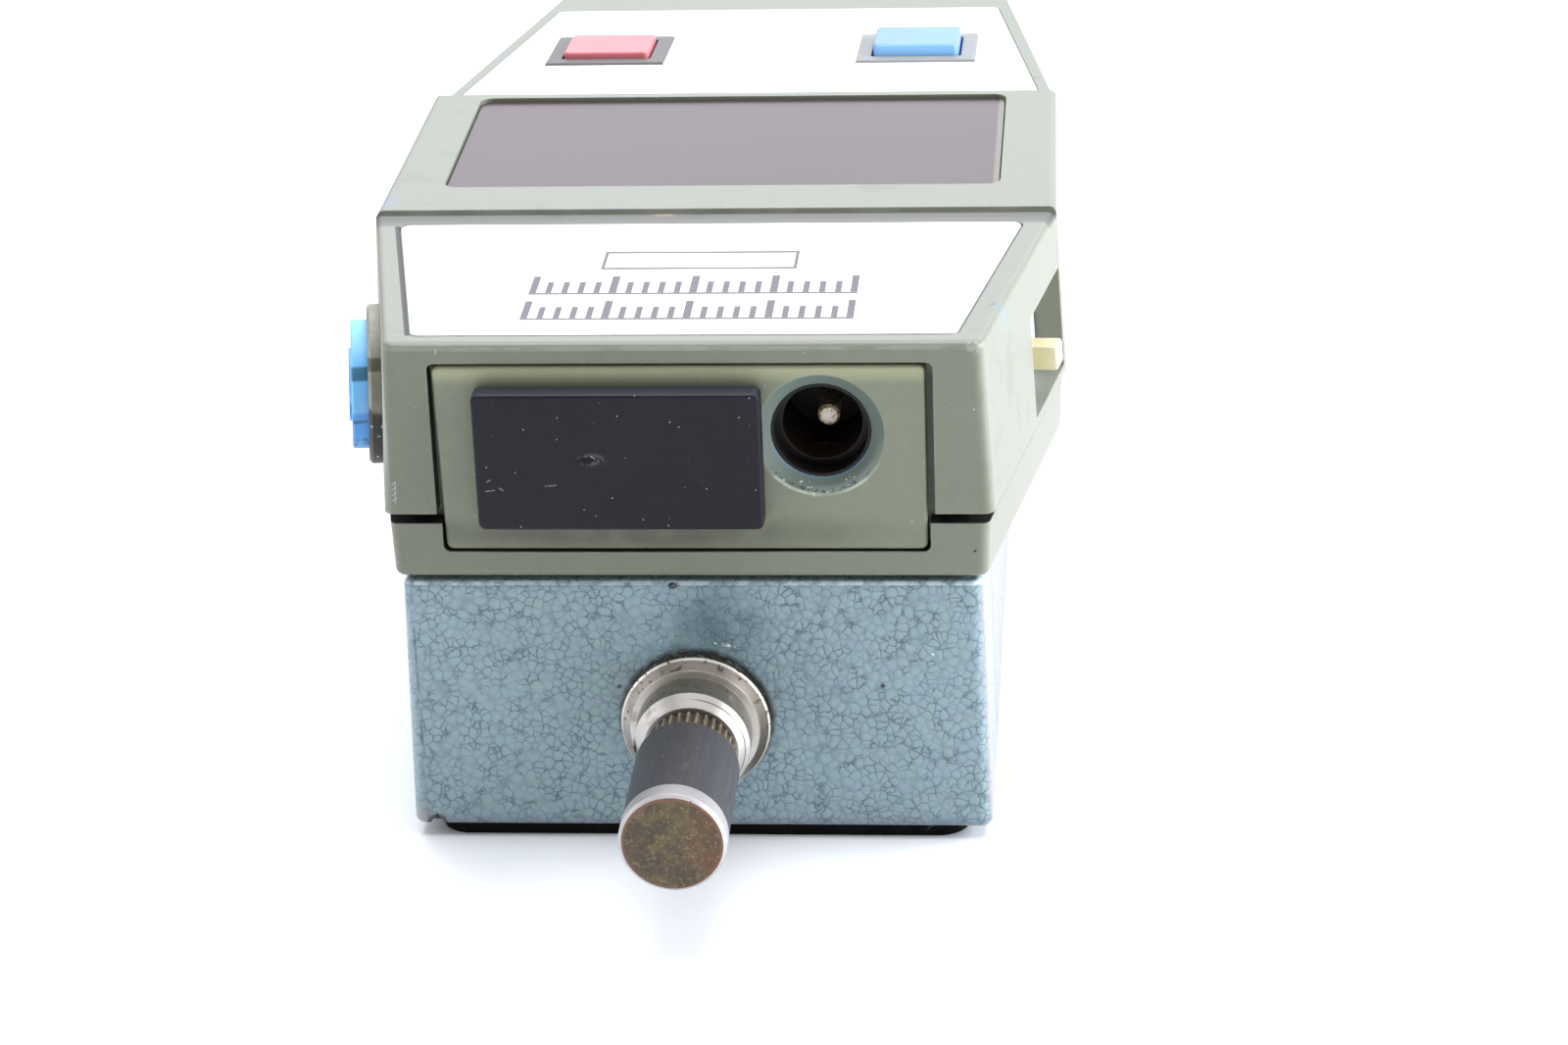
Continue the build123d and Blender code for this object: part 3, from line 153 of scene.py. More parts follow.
class Look:
    """A node material, with short calls for the textures that it is mixed from."""

    def __init__(self, name, color, roughness, metallic=0.0):
        self.material = bpy.data.materials.new(name)
        self.material.use_nodes = True
        self.nodes = self.material.node_tree.nodes
        self.links = self.material.node_tree.links
        self.shader = self.nodes["Principled BSDF"]
        self.set("Roughness", roughness)
        self.set("Metallic", metallic)
        place = self.nodes.new("ShaderNodeTexCoord").outputs["Object"]
        self.mm = self.scaled(place, 1 / MM)
        split = self.nodes.new("ShaderNodeSeparateXYZ")
        self.links.new(self.mm, split.inputs[0])
        self.x, self.y, self.z = split.outputs
        self.color = (*color, 1.0)
        self.normal = self.nodes.new("ShaderNodeNewGeometry").outputs["Normal"]

    def put(self, socket, value):
        """Links an output to a socket, or sets a plain value on it."""
        if isinstance(value, bpy.types.NodeSocket):
            self.links.new(value, socket)
        else:
            socket.default_value = value

    def set(self, name, value):
        """Sets an input of the shader."""
        self.put(self.shader.inputs[name], value)

    def math(self, operation, a, b=0.0, clamp=False):
        """The result of a maths node."""
        node = self.nodes.new("ShaderNodeMath")
        node.operation = operation
        node.use_clamp = clamp
        self.put(node.inputs[0], a)
        self.put(node.inputs[1], b)
        return node.outputs[0]

    def vector(self, operation, a, b):
        """The result of a vector maths node."""
        node = self.nodes.new("ShaderNodeVectorMath")
        node.operation = operation
        self.put(node.inputs[0], a)
        self.put(node.inputs[1], b)
        return node.outputs["Value" if operation in ("DOT_PRODUCT", "DISTANCE") else "Vector"]

    def scaled(self, a, factor):
        """A vector times a number."""
        node = self.nodes.new("ShaderNodeVectorMath")
        node.operation = "SCALE"
        self.put(node.inputs[0], a)
        self.put(node.inputs["Scale"], factor)
        return node.outputs["Vector"]

    def stretched(self, factors):
        """Coordinates in millimetres, scaled apart along X, Y and Z."""
        return self.vector("MULTIPLY", self.mm, factors)

    def along(self, value):
        """A value as coordinates, for noise that runs in rings or bands."""
        node = self.nodes.new("ShaderNodeCombineXYZ")
        self.put(node.inputs[0], value)
        return node.outputs[0]

    def noise(self, per_mm, detail=2.0, roughness=0.5, at=None):
        """Noise from 0 to 1, with a scale in features per millimetre."""
        node = self.nodes.new("ShaderNodeTexNoise")
        self.put(node.inputs["Vector"], self.mm if at is None else at)
        node.inputs["Scale"].default_value = per_mm
        node.inputs["Detail"].default_value = detail
        node.inputs["Roughness"].default_value = roughness
        return node.outputs["Fac"]

    def warped(self, per_mm, push):
        """Coordinates pushed about by noise, by up to half of a push in millimetres."""
        node = self.nodes.new("ShaderNodeTexNoise")
        self.put(node.inputs["Vector"], self.mm)
        node.inputs["Scale"].default_value = per_mm
        return self.vector("ADD", self.mm, self.scaled(node.outputs["Color"], push))

    def cells(self, per_mm, at=None, feature="DISTANCE_TO_EDGE", output="Distance"):
        """Cells of a Voronoi pattern, with distances in millimetres times the scale."""
        node = self.nodes.new("ShaderNodeTexVoronoi")
        node.feature = feature
        self.put(node.inputs["Vector"], self.mm if at is None else at)
        node.inputs["Scale"].default_value = per_mm
        return node.outputs[output]

    def spread(self, value, low, high, to_low=0.0, to_high=1.0):
        """Maps a range to another one, smoothly, and holds it at the ends."""
        node = self.nodes.new("ShaderNodeMapRange")
        node.interpolation_type = "SMOOTHSTEP"
        for name, number in (
            ("Value", value),
            ("From Min", low),
            ("From Max", high),
            ("To Min", to_low),
            ("To Max", to_high),
        ):
            self.put(node.inputs[name], number)
        return node.outputs["Result"]

    def fall(self, value, low, high):
        """1 below a range, falling smoothly to 0 at its end."""
        return self.spread(value, low, high, 1.0, 0.0)

    def band(self, value, low, high, soft=0.05):
        """1 where a value lies between two limits, falling to 0 past them."""
        above = self.spread(value, low - soft, low)
        below = self.fall(value, high, high + soft)
        return self.times(above, below)

    def blotches(self, per_mm, above, soft=0.1, detail=4.0, roughness=0.6, at=None):
        """Patches where noise rises above a level."""
        return self.spread(self.noise(per_mm, detail, roughness, at), above, above + soft)

    def uneven(self, per_mm, least, most, detail=4.0, start=0.3, end=0.6):
        """A share that drifts between two values in soft clouds."""
        return self.spread(self.noise(per_mm, detail), start, end, least, most)

    def times(self, *values):
        """The product of some values."""
        result = values[0]
        for value in values[1:]:
            result = self.math("MULTIPLY", result, value)
        return result

    def most(self, *values):
        """The largest of some values."""
        result = values[0]
        for value in values[1:]:
            result = self.math("MAXIMUM", result, value)
        return result

    def blend(self, factor, a, b):
        """Goes from one plain value to another as a factor rises from 0 to 1."""
        node = self.nodes.new("ShaderNodeMix")
        for socket, value in zip([s for s in node.inputs if s.type == "VALUE"], (factor, a, b)):
            self.put(socket, value)
        return [s for s in node.outputs if s.type == "VALUE"][0]

    def mix(self, factor, a, b, blend="MIX"):
        """Mixes two colours."""
        node = self.nodes.new("ShaderNodeMix")
        node.data_type = "RGBA"
        node.blend_type = blend
        self.put(node.inputs["Factor"], factor)
        for socket, color in zip([s for s in node.inputs if s.type == "RGBA"], (a, b)):
            self.put(socket, color)
        return [s for s in node.outputs if s.type == "RGBA"][0]

    def tint(self, color, *shares):
        """Mixes a colour over what the material has so far, by the product of some shares."""
        self.color = self.mix(self.times(*shares), self.color, (*color, 1.0))

    def shade(self, value):
        """Multiplies the colour so far by a value."""
        node = self.nodes.new("ShaderNodeCombineColor")
        for socket in node.inputs[:3]:
            self.put(socket, value)
        self.color = self.mix(1.0, self.color, node.outputs[0], "MULTIPLY")

    def vary(self, per_mm, by, detail=3.0, at=None):
        """Makes the colour lighter and darker in soft clouds, by a share each way."""
        self.shade(self.spread(self.noise(per_mm, detail, at=at), 0.3, 0.7, 1 - by, 1 + by))

    def specks(self, per_mm, radius, above):
        """Sparse spots, with their radius as a share of the room each one has."""
        dot = self.fall(self.cells(per_mm, feature="F1"), radius * 0.6, radius)
        chosen = self.spread(self.noise(per_mm * 0.37, 1.0), above, above + 0.03)
        return self.times(dot, chosen)

    def hairs(self, per_mm, width, above):
        """Thin broken curved lines, such as lint and light scratches."""
        at = self.warped(0.6, 1.6)
        line = self.fall(self.cells(per_mm, at), 0.0, width * per_mm)
        return self.times(line, self.blotches(per_mm * 1.3, above, 0.03, 2.0))

    def stroke(self, start, end, width, soft=0.08):
        """A straight mark between two points, with round ends."""
        way = [e - s for s, e in zip(start, end)]
        square = sum(w * w for w in way)
        from_start = self.vector("SUBTRACT", self.mm, start)
        share = self.vector("DOT_PRODUCT", from_start, [w / square for w in way])
        node = self.nodes.new("ShaderNodeVectorMath")
        node.operation = "SCALE"
        node.inputs[0].default_value = way
        self.put(node.inputs["Scale"], self.math("MAXIMUM", self.math("MINIMUM", share, 1.0), 0.0))
        distance = self.vector("DISTANCE", from_start, node.outputs["Vector"])
        return self.fall(distance, width / 2, width / 2 + soft)

    def spot(self, point, radius, soft=0.1, stretch=(1.0, 1.0, 1.0)):
        """1 within a radius of a point, falling to 0 over a soft edge."""
        place = [p * s for p, s in zip(point, stretch)]
        distance = self.vector("DISTANCE", self.stretched(stretch), place)
        return self.fall(distance, radius, radius + soft)

    def axis_distance(self, x, z):
        """Distance in millimetres from a line along Y."""
        dx = self.math("SUBTRACT", self.x, x)
        dz = self.math("SUBTRACT", self.z, z)
        return self.math("SQRT", self.math("ADD", self.times(dx, dx), self.times(dz, dz)))

    def facing(self, way):
        """1 on faces that look along a unit vector, such as up."""
        return self.spread(self.vector("DOT_PRODUCT", self.normal, way), 0.5, 0.95)

    def soft_normal(self, radius):
        """The normal with edges rounded over a radius in millimetres."""
        node = self.nodes.new("ShaderNodeBevel")
        node.samples = 4
        node.inputs["Radius"].default_value = radius * MM
        return node.outputs["Normal"]

    def edge(self, radius):
        """1 near an edge and 0 on open faces, for wear and highlights."""
        dot = self.vector("DOT_PRODUCT", self.soft_normal(radius), self.normal)
        return self.fall(dot, 0.80, 0.995)

    def bump(self, height, depth, soft=0.1):
        """Bump from a height of 0 to 1, with its depth and its softened edges in millimetres."""
        node = self.nodes.new("ShaderNodeBump")
        node.inputs["Distance"].default_value = depth * MM
        self.put(node.inputs["Height"], height)
        self.put(node.inputs["Normal"], self.soft_normal(soft))
        self.set("Normal", node.outputs["Normal"])

    def done(self):
        """Sets the colour that has been mixed, and gives the material."""
        self.set("Base Color", self.color)
        return self.material


def hammered_paint():
    """Blue-green enamel that has drawn into small rounded cells with thin dark joints, with painted
    shade that rounds each cell and a painted paler right side.
    """
    look = Look("hammered_paint", (0.232, 0.330, 0.362), 0.40)
    per_mm = 1.12
    at = look.warped(per_mm=1.6, push=0.5)
    joint = look.cells(per_mm, at)
    each = look.cells(per_mm, at, "F1", "Color")
    centre = look.cells(per_mm, at, "F1")
    look.vary(per_mm=0.06, by=0.06, detail=4.0)
    look.color = look.mix(0.035, look.color, each, "OVERLAY")
    # Painted shade: each cell is lighter at its centre and darker towards its rim, so that it looks
    # domed
    look.tint((0.29, 0.39, 0.41), look.spread(centre, 0.05, 0.55, 0.30, 0.0))
    look.tint((0.12, 0.19, 0.22), look.spread(centre, 0.45, 0.85, 0.0, 0.25))
    strong = look.uneven(0.7, 0.15, 0.95, start=0.34)
    line = look.times(look.fall(joint, 0.015, 0.085), strong)
    look.tint((0.045, 0.083, 0.105), line, 0.75)
    # Painted light: faces turned to the right are paler and greyer, as the right lamp lights them
    look.tint((0.245, 0.230, 0.222), look.facing(RIGHT), 0.75)
    paint_marks_and_painted_reflection(look)
    worn_paint_and_painted_light(look)
    height = look.math("ADD", look.spread(joint, 0.0, 0.35), look.times(look.noise(2.4, 2.0), 0.3))
    look.bump(height, 0.028, soft=0.25)
    look.set("Roughness", look.spread(line, 0.0, 1.0, 0.38, 0.6))
    look.set("Coat Weight", 0.2)
    look.set("Coat Roughness", 0.3)
    return look.done()


def paint_marks_and_painted_reflection(look):
    """A darker patch above the stem's flange, a dark line round it, a painted reflection of the
    black plate along the lower edge, and a chipped corner with a nick.
    """
    # A darker patch above the flange
    dark_patch = look.spot((2.6, BLOCK_FRONT, 10.3), 1.0, 4.6, stretch=(0.8, 0.2, 1.0))
    look.tint((0.070, 0.125, 0.145), dark_patch, look.uneven(0.35, 0.45, 1.0), 0.75)
    radius = look.axis_distance(0, 0)
    rim = look.fall(radius, FLANGE_RADIUS + 0.05, FLANGE_RADIUS + 0.55)
    front = look.fall(look.y, BLOCK_FRONT + 0.5, BLOCK_FRONT + 1.0)
    look.tint((0.035, 0.035, 0.028), rim, front, look.uneven(0.8, 0.35, 0.95, detail=3.0, end=0.55))
    haze = look.spread(radius, FLANGE_RADIUS, FLANGE_RADIUS + 2.2, 0.4, 0.0)
    look.tint((0.09, 0.15, 0.17), haze, front, look.blotches(0.5, 0.42, 0.2))
    # Painted reflection: the lower edge is darker and bluer, standing in for the black plate below
    # it
    foot = look.fall(look.z, BLOCK_FOOT + 0.5, BLOCK_FOOT + 1.6)
    look.tint((0.13, 0.15, 0.215), foot, 0.4)
    corner = look.spot((-BLOCK_SIDE, BLOCK_FRONT, BLOCK_FOOT), 1.2, 1.6)
    look.tint((0.36, 0.30, 0.29), corner, 0.85)
    nick = look.spot((-26.3, BLOCK_FRONT + 0.7, BLOCK_FOOT + 0.3), 1.0, 0.35)
    look.tint((0.02, 0.02, 0.022), nick)


def worn_paint_and_painted_light(look):
    """Paint that pulls back from the edges, a painted highlight as a pale broken line along the
    top, painted light and shade on the left corner, and small chips.
    """
    # Paler edges: partly paint that pulls back, partly a painted highlight
    edge = look.edge(0.4)
    look.tint((0.42, 0.52, 0.56), edge, 0.30)
    look.tint((0.10, 0.09, 0.09), edge, look.blotches(0.7, 0.60, 0.06))
    # Painted highlight: a pale broken line just under the top edge
    top = look.band(look.z, BLOCK_TOP - 0.35, BLOCK_TOP - 0.08)
    look.tint((0.62, 0.72, 0.78), top, look.uneven(0.9, 0.15, 0.75, start=0.40, end=0.58))
    # Painted light makes the left corner paler, up to a broken dark line of painted shade where it
    # turns into the front
    line = look.band(look.x, -BLOCK_SIDE + 1.35, -BLOCK_SIDE + 1.5)
    look.tint((0.05, 0.08, 0.10), line, look.blotches(0.3, 0.46, 0.1), 0.6)
    corner = look.fall(look.x, -BLOCK_SIDE + 0.5, -BLOCK_SIDE + 1.3)
    look.tint((0.36, 0.46, 0.50), corner, 0.35)
    black = look.spot((-1.8, BLOCK_FRONT, BLOCK_TOP - 0.35), 0.25, 0.2, (0.8, 1.0, 1.0))
    look.tint((0.006, 0.006, 0.008), black, look.blotches(1.6, 0.34, 0.1))
    dot = look.spot((-7.45, BLOCK_FRONT, 3.5), 0.16, 0.12)
    look.tint((0.02, 0.03, 0.05), dot)
    red = look.stroke((-17.9, BLOCK_FRONT, 12.7), (-17.2, BLOCK_FRONT, 13.0), 0.04, 0.12)
    look.tint((0.30, 0.17, 0.13), red, 0.45)
    flecks = look.stroke((2.0, BLOCK_FRONT, 8.25), (4.3, BLOCK_FRONT, 7.75), 0.12, 0.18)
    look.tint((0.75, 0.80, 0.82), flecks, look.blotches(2.2, 0.50, 0.05, 2.0))
    look.tint((0.03, 0.03, 0.035), look.specks(0.22, 0.08, 0.66))
    look.tint((0.72, 0.75, 0.76), look.specks(0.25, 0.04, 0.60))


def moulded_plastic(name, color, pale):
    """Moulded plastic with fine grain, handling marks, and paler edges that are partly worn and
    partly a painted highlight.
    """
    look = Look(name, color, 0.46)
    look.vary(per_mm=0.04, by=0.03)
    look.vary(per_mm=0.8, by=0.025)
    look.vary(per_mm=3.5, by=0.02)
    grime = look.blotches(0.12, 0.56, 0.2, 5.0, 0.65)
    look.tint((0.14, 0.14, 0.10), grime, 0.14)
    # Paler edges: partly wear, partly a painted highlight
    edge = look.edge(0.3)
    look.tint(pale, edge, look.uneven(0.5, 0.30, 0.75, detail=3.0))
    look.tint((0.50, 0.51, 0.46), look.hairs(0.16, 0.02, 0.60), 0.15)
    look.tint((0.70, 0.70, 0.66), look.specks(0.6, 0.055, 0.50), 0.8)
    look.tint((0.05, 0.05, 0.04), look.specks(0.33, 0.04, 0.60), 0.7)
    height = look.math("ADD", look.noise(5.0, 3.0), look.times(look.noise(1.2, 2.0), 0.5))
    look.bump(height, 0.008, soft=0.2)
    look.set("Roughness", look.spread(grime, 0.0, 1.0, 0.46, 0.58))
    return look


def case_plastic():
    """The case's grey-green plastic, with the marks that show on its front and top, and painted
    light and shade on its top, edges and sides.
    """
    look = moulded_plastic("case_plastic", (0.186, 0.200, 0.143), (0.31, 0.33, 0.27))
    # Painted light: faces turned up are paler and cooler, as the top lamp lights them
    look.tint((0.205, 0.216, 0.187), look.facing(UP), 0.7)
    front = look.fall(look.y, CASE_FRONT + 0.9, CASE_FRONT + 1.3)
    # Painted shade as a grey line where the front rolls into the top, and a painted highlight as a
    # paler line just under it
    roll_painted_shade = look.band(look.y, CASE_FRONT + 0.55, CASE_FRONT + 0.8, 0.12)
    look.tint((0.13, 0.13, 0.11), roll_painted_shade, look.spread(look.z, CASE_TOP - 0.4, CASE_TOP - 0.1), 0.40)
    pale = look.band(look.z, CASE_TOP - 0.62, CASE_TOP - 0.38, 0.12)
    look.tint((0.45, 0.47, 0.41), pale, front, look.uneven(0.3, 0.10, 0.35))
    # Light catches the left upright corner, and the right one is rubbed at its top
    corner = look.times(front, look.fall(look.x, -28.6, -28.2))
    look.tint((0.60, 0.62, 0.60), corner, look.spread(look.z, SEAM, CASE_TOP - 4.0, 0.10, 0.55))
    rub = look.spot((27.4, CASE_FRONT + 0.2, 38.8), 0.35, 0.5)
    look.tint((0.42, 0.43, 0.40), rub, look.blotches(1.8, 0.45, 0.1), 0.5)
    # Painted shade makes the front a little darker towards its left, and painted light makes the
    # right side a little paler
    look.shade(look.blend(front, 1.0, look.spread(look.x, -25.0, 8.0, 0.91, 0.98)))
    look.shade(look.blend(front, 1.0, look.spread(look.z, SEAM - SEAM_GAP, SEAM, 0.97, 1.0)))
    look.tint((0.24, 0.24, 0.22), look.facing(RIGHT), 0.3)
    scribbles_and_chips(look)
    groove_dirt_and_painted_shade(look)
    return look.done()


def scribbles_and_chips(look):
    """Small marks at the places where the case shows them."""
    # A faint pale scribble on the left of the front: four slanted strokes and an upright one
    pale = (0.60, 0.60, 0.60)
    for step in range(4):
        z = 23.2 + 0.55 * step
        slanted = look.stroke((-28.35, CASE_FRONT, z), (-27.85, CASE_FRONT, z + 0.35), 0.05)
        look.tint(pale, slanted, 0.35)
    upright = look.stroke((-28.0, CASE_FRONT, 23.0), (-27.9, CASE_FRONT, 25.2), 0.05)
    look.tint(pale, upright, 0.3)
    white = look.stroke((-23.1, CASE_FRONT, 38.4), (-23.05, CASE_FRONT, 38.9), 0.05, 0.1)
    look.tint((0.60, 0.61, 0.56), white, 0.4)
    black = look.spot((27.3, CASE_FRONT, 18.0), 0.10, 0.1)
    look.tint((0.02, 0.02, 0.02), black)
    brown = look.spot((12.2, CASE_FRONT + 0.8, CASE_TOP), 0.25, 0.35)
    look.tint((0.20, 0.17, 0.15), brown)
    # A bluish chip on the right edge of the top, with a pit and a scratch beside it
    chip = look.spot((29.75, 11.7, 38.3), 0.5, 0.35, (0.6, 0.9, 0.42))
    look.tint((0.165, 0.225, 0.245), chip, 0.8)
    pit = look.spot((29.0, 12.1, CASE_TOP), 0.12, 0.12)
    look.tint((0.08, 0.08, 0.09), pit)
    scratch = look.stroke((28.6, 11.4, CASE_TOP), (29.1, 12.6, CASE_TOP), 0.04)
    look.tint((0.14, 0.13, 0.13), scratch)
    bluish = look.spot((-33.9, 41.6, CASE_TOP), 0.4, 1.0, (1.0, 0.5, 1.0))
    look.tint((0.20, 0.22, 0.34), bluish, 0.4)


def groove_dirt_and_painted_shade(look):
    """Dirt and painted shade in the groove, a strip in front of it darkened by painted shade and
    soil, a dark line left of the label, and painted shade in the shells' gap and the panel's
    opening.
    """
    # Painted shade and soil darken the strip in front of the groove, painted shade and dirt the
    # groove's core, and olive dirt its rear half
    top = look.spread(look.z, CASE_TOP - 0.9, CASE_TOP - 0.75)
    strip = look.band(look.y, LABEL_HIGH.y + 0.3, GROOVE_NEAR, 0.6)
    look.tint(
        (0.048, 0.048, 0.042),
        strip,
        top,
        look.spread(look.y, LABEL_HIGH.y, GROOVE_NEAR - 0.05, 0.58, 0.90),
    )
    deep = look.band(look.y, GROOVE_NEAR - 0.1, GROOVE_Y + 0.1, 0.2)
    look.tint((0.012, 0.011, 0.014), deep, top, 0.95)
    olive = look.band(look.y, GROOVE_Y + 0.1, GROOVE_FAR + 0.1, 0.2)
    look.tint(
        (0.036, 0.040, 0.015),
        olive,
        top,
        look.uneven(0.25, 0.85, 0.97, detail=3.0, start=0.35),
    )
    rusty = look.spot((-4.9, GROOVE_NEAR - 0.05, CASE_TOP), 0.4, 0.7, (0.7, 1.0, 0.3))
    look.tint((0.30, 0.17, 0.05), rusty, look.blotches(1.2, 0.42, 0.1), 0.6)
    left = look.stroke(
        (LABEL_LOW.x + 5.1, LABEL_LOW.y + 0.3, CASE_TOP),
        (LABEL_LOW.x - 0.5, LABEL_HIGH.y - 0.3, CASE_TOP),
        0.45,
    )
    look.tint((0.009, 0.009, 0.012), left, 0.95)
    # Painted shade: the gap between the shells is dark where it opens at the front
    gap = look.times(
        look.band(look.z, SEAM - SEAM_GAP - 0.03, SEAM + 0.01, 0.01),
        look.band(look.y, CASE_FRONT + 0.2, CASE_FRONT + 2.5, 0.1),
    )
    look.tint((0.008, 0.008, 0.006), gap, 0.93)
    # Painted shade also darkens the walls of the opening that the panel stands in
    panel_low, panel_high = low("connector_panel"), high("connector_panel")
    inside = look.times(
        look.band(look.x, panel_low.x - 0.6, panel_high.x + 0.6),
        look.band(look.z, panel_low.z - 0.5, panel_high.z + 0.5),
        look.band(look.y, CASE_FRONT + 0.25, CASE_FRONT + 4.0, 0.1),
    )
    look.tint((0.010, 0.010, 0.008), inside, 0.85)


def panel_plastic():
    """The panel's greener plastic, turning blue-green inside the jack's dish, with painted light at
    its top and in the dish's lower part, and painted shade round the dish and under the cap.
    """
    look = moulded_plastic("panel_plastic", (0.194, 0.214, 0.146), (0.42, 0.46, 0.33))
    top = high("connector_panel").z
    # Painted light: the panel is paler towards its top edge
    look.tint((0.36, 0.374, 0.222), look.spread(look.z, top - 2.2, top - 0.6, 0.0, 0.8))
    radius = look.axis_distance(JACK_X, JACK_Z)
    above_jack = look.math("SUBTRACT", look.z, JACK_Z)
    low_side = look.fall(above_jack, -4.5, 1.0)
    under = look.fall(above_jack, -4.8, -2.4)
    # Painted shade: a thin dark ring at the dish's outer edge
    look.tint((0.112, 0.150, 0.130), look.spread(radius, DISH_RADIUS - 0.07, DISH_RADIUS, 0.9, 0.0))
    # Painted light: the dish's lower part, which faces up, is paler, most of all towards the right
    inside = look.fall(radius, DISH_RADIUS - 0.05, DISH_RADIUS)
    pale = look.times(look.spread(radius, DISH_RADIUS - 0.75, DISH_RADIUS - 0.15, 0.0, 0.4), inside)
    look.tint((0.42, 0.50, 0.42), pale, low_side, look.spread(look.x, JACK_X - 2.5, JACK_X + 0.5))
    blue = look.fall(radius, NOSE_HOLE_RADIUS - 0.02, NOSE_HOLE_RADIUS + 0.23)
    look.tint((0.12, 0.27, 0.36), blue, low_side, 0.9)
    # Dirt along the dish's lower edge, a paler lip outside it, and dust over both
    rim = look.band(radius, DISH_RADIUS - 0.27, DISH_RADIUS - 0.05, 0.08)
    look.tint((0.03, 0.035, 0.035), rim, under, look.blotches(3.2, 0.46, 0.12), 0.7)
    lip = look.band(radius, DISH_RADIUS + 0.05, DISH_RADIUS + 0.25, 0.1)
    look.tint((0.45, 0.52, 0.42), lip, under, look.uneven(0.4, 0.2, 0.8, detail=3.0))
    dust = look.times(look.fall(radius, DISH_RADIUS - 0.05, DISH_RADIUS + 0.55), under)
    look.tint((0.70, 0.70, 0.62), dust, look.specks(2.2, 0.22, 0.48))
    # Painted shade under the cap, and fine scratches on the right
    soil = look.spot((CAP_MIDDLE.x, CASE_FRONT, CAP_MIDDLE.z - 8.4), 0.4, 1.6, (0.06, 0.2, 0.7))
    look.tint((0.088, 0.090, 0.056), soil, look.uneven(0.3, 0.65, 0.95))
    for start, end in PANEL_SCRATCHES:
        mark = look.stroke((start[0], CASE_FRONT, start[1]), (end[0], CASE_FRONT, end[1]), 0.04)
        look.tint((0.60, 0.62, 0.55), mark, look.blotches(1.0, 0.44, 0.1), 0.6)
    return look.done()


def turned_steel(name, color, soil, roughness):
    """Turned steel round the stem axis, with fine tool lines and brownish soil."""
    look = Look(name, color, roughness, 1.0)
    lines = look.noise(1.0, 2.0, at=look.stretched((0.6, 14.0, 0.6)))
    rings = look.noise(9.0, 2.0, at=look.along(look.axis_distance(0, 0)))
    look.shade(look.spread(lines, 0.3, 0.7, 0.93, 1.04))
    look.shade(look.spread(rings, 0.3, 0.7, 0.94, 1.04))
    dirt = look.blotches(0.45, 0.52, 0.16, 5.0, 0.7)
    look.tint((0.20, 0.16, 0.12), dirt, soil)
    look.tint((0.05, 0.04, 0.03), look.specks(1.1, 0.13, 0.56))
    look.set("Roughness", look.spread(dirt, 0.0, 1.0, roughness, roughness + 0.2))
    look.bump(look.math("ADD", lines, rings), 0.005, soft=0.08)
    return look


def stem_steel():
    """Bush of the stem: bright nose and shoulder, a painted highlight round its rim, a brown cone,
    and dirt in the corners.
    """
    look = turned_steel("stem_steel", (0.50, 0.475, 0.43), soil=0.3, roughness=0.42)
    radius = look.axis_distance(0, 0)
    upper = look.spread(look.z, 0.5, 5.0)
    cone = look.times(look.band(radius, *CONE_RING, 0.1), look.spread(look.y, 0.0, 0.1))
    look.tint((0.17, 0.135, 0.115), cone, look.blend(upper, 0.12, 0.72))
    right = look.times(look.spread(radius, 6.2, 6.4), look.spread(look.x, 3.5, 6.0))
    look.tint((0.085, 0.076, 0.060), right, 0.9)
    side = look.spread(radius, FLANGE_RADIUS - 0.03, FLANGE_RADIUS)
    look.tint((0.06, 0.045, 0.028), side, look.blotches(0.9, 0.36, 0.15), 0.85)
    # Painted highlight: a thin bright line round the flange's rim
    rim = look.band(radius, *RIM_RING, 0.05)
    look.tint((0.80, 0.77, 0.70), rim, 0.7)
    collar = look.times(
        look.spread(look.y, COLLAR_FRONT, COLLAR_FRONT + 0.15),
        look.fall(look.y, -0.15, 0.0),
    )
    look.tint((0.27, 0.235, 0.18), collar, look.blend(upper, 0.15, 0.6))
    fleck = look.times(collar, look.blotches(1.1, 0.60, 0.05, at=look.stretched((1.0, 2.2, 1.0))))
    look.tint((0.035, 0.028, 0.02), fleck)
    flecks = look.times(look.band(radius, 6.5, 7.3, 0.1), look.blotches(1.5, 0.57, 0.05))
    look.tint((0.05, 0.042, 0.028), flecks, look.spread(look.z, -4.0, 1.0), 0.8)
    shoulder = look.band(radius, *SHOULDER_RING, 0.08)
    look.tint((0.70, 0.68, 0.64), shoulder, 0.3)
    # The nose's pale chamfer, with one thin dark turned line and a soiled left foot
    nose = look.fall(look.y, COLLAR_FRONT - 0.05, COLLAR_FRONT)
    look.tint((0.50, 0.475, 0.455), nose, 0.6)
    line = look.times(look.band(radius, *LINE_RING, 0.05), look.spread(look.x, -0.5, 1.5), nose)
    look.tint((0.16, 0.14, 0.13), line)
    foot = look.spot((-5.6, -3.4, -1.0), 0.35, 0.35, (1.3, 0.6, 0.32))
    look.tint((0.04, 0.035, 0.03), foot, look.blotches(1.6, 0.42, 0.1))
    return look.done()


def spindle_steel():
    """The spindle's bright ground steel, soiled in patches."""
    return turned_steel("spindle_steel", (0.62, 0.60, 0.57), soil=0.5, roughness=0.3).done()


